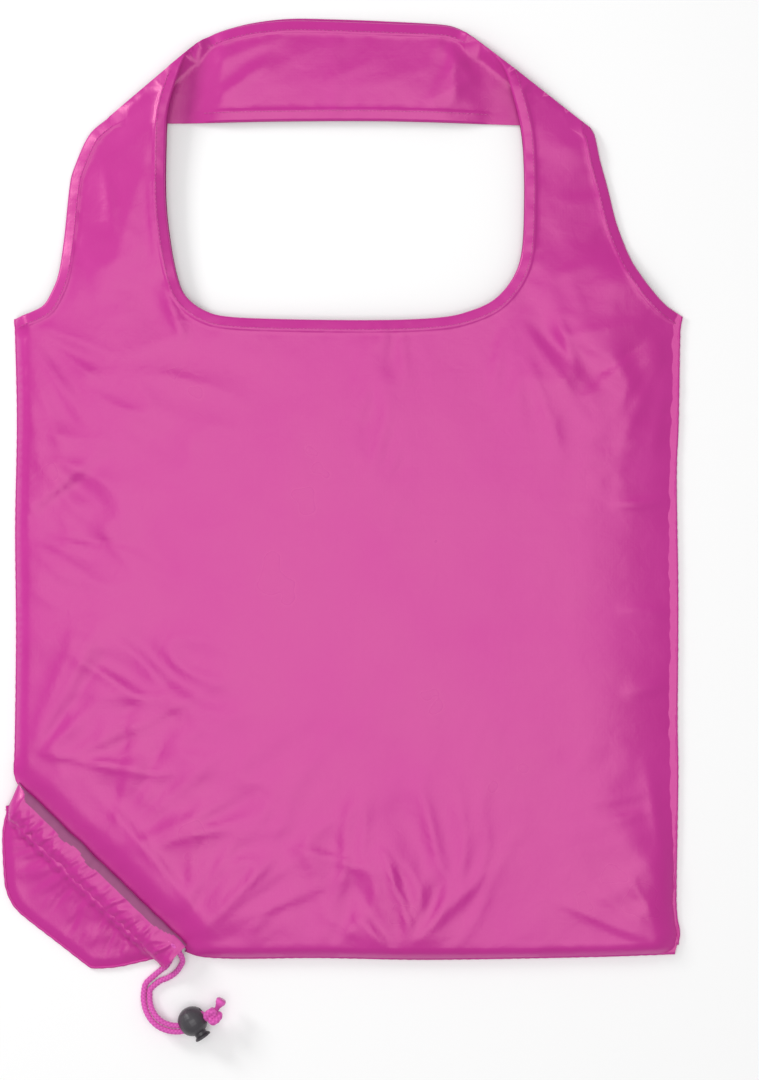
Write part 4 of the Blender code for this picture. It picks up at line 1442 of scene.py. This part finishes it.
@dataclass
class Pouch:
    """The stow pouch at the lower left corner, with its gathered drawstring casing."""

    place: PouchPlace = field(default_factory=PouchPlace)
    outline: Points = (
        (3.6, 14.5), (6.6, 17.4), (10.4, 23.6), (15.9, 30.2), (30.5, 44), (38.4, 49.8),
        (47.7, 52.8), (59.6, 52.3),
        (80, 50), (97, 48.2), (102.4, 47.2), (106.4, 43.6), (113, 36), (119.3, 26.5), (127.9, 13.3),
    )
    casing_top: float = 12.0
    middle: float = 6.15
    gather_step: float = 0.7

    def gathers(self, u: np.ndarray, seed: float) -> np.ndarray:
        """Work out the pleats' relief along the casing.

        Args:
            u: Distances along the mouth.
            seed: Picks another set of pleats.

        Returns:
            The relief at each, from about -1 to 1.
        """
        drift = 5.5 * wander_along(u, 17, seed)
        pleats = np.sin(math.tau * (u + drift) / 7.6)
        pleats += 0.6 * np.sin(math.tau * (u - 0.8 * drift) / 4.3 + seed)
        strength = 0.65 + 0.9 * wander_along(u, 13, seed + 5)
        return strength * pleats / 1.6 + 1.1 * wander_along(u, 3.4, seed + 3)

    def casing_relief(self, u: np.ndarray, w: float, seed: float) -> np.ndarray:
        """Work out the pleats and crumples along one line of the casing's cloth.

        Args:
            u: Distances along the mouth.
            w: The line's distance from the mouth's edge.
            seed: Picks another set of pleats.

        Returns:
            The rise at each, in millimetres.
        """
        depth = 0.42 * math.exp(-((w - 12.5) / 5.5) ** 2)
        pleats = depth * self.gathers(u + 0.35 * (w - 9), seed)
        spots = np.column_stack([u, np.full(len(u), 0.55 * w)])
        crumple = 1 - 2 * np.abs(wander(spots, 6.5, seed + 11))
        return pleats + 0.62 * crumple * math.exp(-((w - 9) / 7) ** 2)

    def casing(self, face: Face, cloth: bpy.types.Material, roll_shade_finish: bpy.types.Material) -> bpy.types.Object:
        """Make one leg of the casing: a tube of cloth, gathered on its cord.

        Args:
            face: Which of the pouch's faces the leg is on.
            cloth: The cloth's material.
            roll_shade_finish: The material painted on the strip where the mouth's edge rolls over, darker and
                greyer than the cloth as painted shade and painted reflection.

        Returns:
            The object.
        """
        profile = smooth_path([
            (16.5, 6.9), (10, 7.3), (3.2, 7.5), (-0.2, 8.4), (-0.7, 9.6), (0.3, 10.7), (4, 11.3), (9, 11.3),
            (12.6, 11.1), (15, 10.6), (17.0, 9.2), (18.8, 6.8),
        ], 0.8)
        stations = np.arange(-0.6, self.place.length + 0.01, self.gather_step)
        seed = 2.0 if face is Face.FRONT else 7.0
        slow = wander_along(stations, 11, seed + 1)
        narrow = 0.78 + 0.22 * ease((stations + 0.6) / 9)
        closing = np.clip((stations + 0.6) / 8, 0, 1) ** 0.5
        places, flat = [], []
        for number, (w, z) in enumerate(profile):
            share = number / (len(profile) - 1)
            shown = float(ease(np.array([(share - 0.3) / 0.15]))[0])
            relief = self.casing_relief(stations, w, seed) * shown
            jag = 0.8 * shown * self.gathers(stations, seed + 2) * math.exp(-((w - 16) / 3) ** 2)
            depth = (w + 0.8 * slow * shown + jag) * narrow
            height = z + relief + 0.35 * slow * shown - 0.45 * shown * math.exp(-((w - 15.6) / 1.6) ** 2)
            if face is Face.BACK:
                height = np.maximum(2 * self.middle - height, 0.12)
            height = self.middle + (height - self.middle) * closing
            slant = 4.5 * np.maximum(0.0, 1 - stations / 14) * max(w, 0) / 16
            for u, away, z_here, shift in zip(stations, depth, height, slant):
                places.append((*self.place.point(u + shift, away), z_here))
                flat.append((u, w + 40 * share))
        # Faces on the mouth's rolled edge, out to this reach, get the darker, greyer material: painted shade
        # and painted reflection.
        roll_shade_reach = (4.1 + 1.8 * slow) * ease((stations - 3) / 8) * ease((126 - stations) / 16)
        faces, painted_roll_faces = [], []
        count = len(stations)
        for row in range(len(profile) - 1):
            w, z = profile[row]
            for column in range(count - 1):
                a = row * count + column
                quad = [a, a + 1, a + count + 1, a + count]
                faces.append(quad if face is Face.FRONT else quad[::-1])
                painted_roll_faces.append(z > 9.4 and w < roll_shade_reach[column])
        made = new_mesh(f"pouch_casing_{face.value}", np.array(places), faces, cloth, np.array(flat))
        made.data.materials.append(roll_shade_finish)
        made.data.polygons.foreach_set("material_index", np.array(painted_roll_faces, np.int32))
        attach(made, "bag")
        return made

    def wall(self, face: Face, cloth: bpy.types.Material) -> bpy.types.Object:
        """Make one wall of the pouch, pulled into folds that run to the casing.

        Args:
            face: Which of the pouch's faces it is.
            cloth: The cloth's material.

        Returns:
            The object.
        """
        rim_uw = smooth_path(self.outline, 2.0)
        rim = np.array([self.place.point(u, w) for u, w in rim_uw])
        top = np.array([self.place.point(u, 14.0) for u in np.linspace(126, 5, 60)])
        outline = np.vstack([rim, top])
        area = np.sum(outline[:, 0] * np.roll(outline[:, 1], -1) - outline[:, 1] * np.roll(outline[:, 0], -1))
        if area < 0:
            outline = outline[::-1]

        def height(places: np.ndarray) -> np.ndarray:
            """Return the wall's height at each (x, y)."""
            u, w = self.place.axes(places)
            gap, along = nearest(places, rim)
            share = np.clip(gap / 42, 0, 1)
            level = 1.8 + 1.6 * ease(gap / 5) + 5.6 * share ** 2.2
            level = np.where(w < 20, np.maximum(level, 8.6 - 0.35 * np.maximum(12 - gap, 0)), level)
            spread = (u - 66) / (40 + w)
            streaks = wander(np.column_stack([spread * 60, w * 0.18]), 4.2, 6.6)
            streaks = 1 - 2.2 * np.abs(streaks)
            folds = 1.1 * streaks * np.exp(-((w - 24) / 16) ** 2) + 0.5 * wander(places, 14, 4.2)
            level = level + folds * ease(gap / 10)
            if face is Face.BACK:
                level = np.maximum(0.5 + 0.12 * (9.0 - level), 0.12)
            return level

        sheet = Sheet(f"pouch_{face.value}_cloth", outline, 2.2)
        made = sheet.build(height, cloth, face is Face.FRONT)
        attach(made, "bag")
        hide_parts(f"pouch_{face.value}")
        return made

    def edge(self, cloth: bpy.types.Material) -> bpy.types.Object:
        """Make the sewn edge round the pouch."""
        rim = np.array([self.place.point(u, w) for u, w in smooth_path(self.outline, 1.2)])
        wave = wander_along(np.arange(len(rim)) * 1.2, 8, 1.1)
        route = np.column_stack([rim, 1.4 + 0.2 * wave])

        def radius(around: float, station: float) -> float:
            """Return the welt's radius, pinched at each stitch."""
            return 0.95 + 0.1 * math.sin(station)

        made = tube_mesh("pouch_edge_welt", route, radius, 12, cloth)
        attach(made, "bag")
        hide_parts("pouch_seam")
        return made

    def build(self, cloth: bpy.types.Material, roll_shade_finish: bpy.types.Material,
              thread: bpy.types.Material) -> None:
        """Make the pouch's walls, edge, casing and gathering stitches.

        Args:
            cloth: The cloth's material.
            roll_shade_finish: The material painted on the casing's rolled mouth edge as shade and reflection,
                darker and greyer than the cloth.
            thread: The thread's material.
        """
        for face in Face:
            self.wall(face, cloth)
        self.edge(cloth)
        front = self.casing(Face.FRONT, cloth, roll_shade_finish)
        back = self.casing(Face.BACK, cloth, roll_shade_finish)
        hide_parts("pouch_casing")
        stations = np.arange(4.0, self.place.length - 1, 0.9)
        fold = self.gathers(stations, 2.0)
        slow = wander_along(stations, 11, 3.0)
        row = [
            (*self.place.point(u, 15.4 + 0.5 * f + 0.8 * s), 9.35 + 0.3 * f + 0.35 * s)
            for u, f, s in zip(stations, fold, slow)
        ]
        stitches = StitchRow(pitch=2.2, length=1.7).build("pouch_casing_stitches", [np.array(row)], thread)
        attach(stitches, "bag")
        log.info("pouch: walls, edge and casing")


# --- Studio ---------------------------------------------------------------------------------------


@dataclass
class Studio:
    """White paper floor, a broad box light overhead, a smaller key at the upper left, and the camera."""

    lens: float = 100.0
    sensor: float = 36.0
    view_height: float = 0.6188
    view_centre: tuple[float, float] = (0.0223, -0.0262)
    floor_size: float = 6.0
    box_size: float = 1.5
    box_height: float = 2.1
    box_y: float = -0.2
    box_power: float = 18.4
    key_place: tuple[float, float, float] = (-1.2, 0.75, 0.75)
    key_size: float = 0.45
    key_power: float = 9.5
    sky: float = 0.5

    def camera(self) -> None:
        """Place the camera straight above."""
        data = bpy.data.cameras.new("camera")
        data.lens = self.lens
        data.sensor_width = self.sensor
        made = bpy.data.objects.new("camera", data)
        made.location = (*self.view_centre, self.view_height * self.lens / self.sensor)
        bpy.context.scene.collection.objects.link(made)
        bpy.context.scene.camera = made

    def light(self, name: str, place: tuple[float, float, float], aim: tuple[float, float, float],
              size: float, power: float) -> None:
        """Add a square area light.

        Args:
            name: The light's name.
            place: Where it stands, in metres.
            aim: The point that it faces.
            size: Its side.
            power: Its power in watts.
        """
        data = bpy.data.lights.new(name, "AREA")
        data.shape = "SQUARE"
        data.size = size
        data.energy = power
        made = bpy.data.objects.new(name, data)
        made.location = place
        made.rotation_euler = (Vector(aim) - Vector(place)).to_track_quat("-Z", "Y").to_euler()
        bpy.context.scene.collection.objects.link(made)

    def build(self, paper: bpy.types.Material) -> None:
        """Make the floor, lights, sky and camera."""
        half = self.floor_size / 2
        corners = [(-half, -half, 0), (half, -half, 0), (half, half, 0), (-half, half, 0)]
        mesh = bpy.data.meshes.new("floor")
        mesh.from_pydata(corners, [], [(0, 1, 2, 3)])
        mesh.materials.append(paper)
        floor = bpy.data.objects.new("floor", mesh)
        bpy.context.scene.collection.objects.link(floor)
        self.light("box_light", (0.0, self.box_y, self.box_height), (0.0, self.box_y, 0),
                   self.box_size, self.box_power)
        self.light("key_light", self.key_place, (0, 0, 0), self.key_size, self.key_power)
        world = bpy.data.worlds.new("sky")
        world.use_nodes = True
        background = world.node_tree.nodes["Background"]
        background.inputs["Color"].default_value = (1, 1, 1, 1)
        background.inputs["Strength"].default_value = self.sky
        bpy.context.scene.world = world
        bpy.context.scene.view_settings.view_transform = "Standard"
        self.camera()


def main() -> None:
    """Build the studio and the bag."""
    logging.basicConfig(level=logging.INFO, format="%(name)s %(message)s")
    Studio().build(PaperBackdrop().make())
    cloth, thread = SatinPolyester().make(), SewingThread().make()
    # A darker, greyer copy of the satin for the casing's rolled mouth edge: painted shade and painted
    # reflection.
    roll_shade_finish = SatinPolyester(name="painted_roll_shade", light="9C4C82", deep="7C3766", roughness=0.5).make()
    Drawcord().build(BraidedPolyester().make())
    CordStop().dress(MouldedAcetal().make(), SpringWire().make())
    front, back = BagLayer(Face.FRONT), BagLayer(Face.BACK)
    front.build(cloth, thread)
    back.build(cloth, thread)
    SewnEdges(front).build(cloth)
    Pouch().build(cloth, roll_shade_finish, thread)


if __name__ == "__main__":
    main()
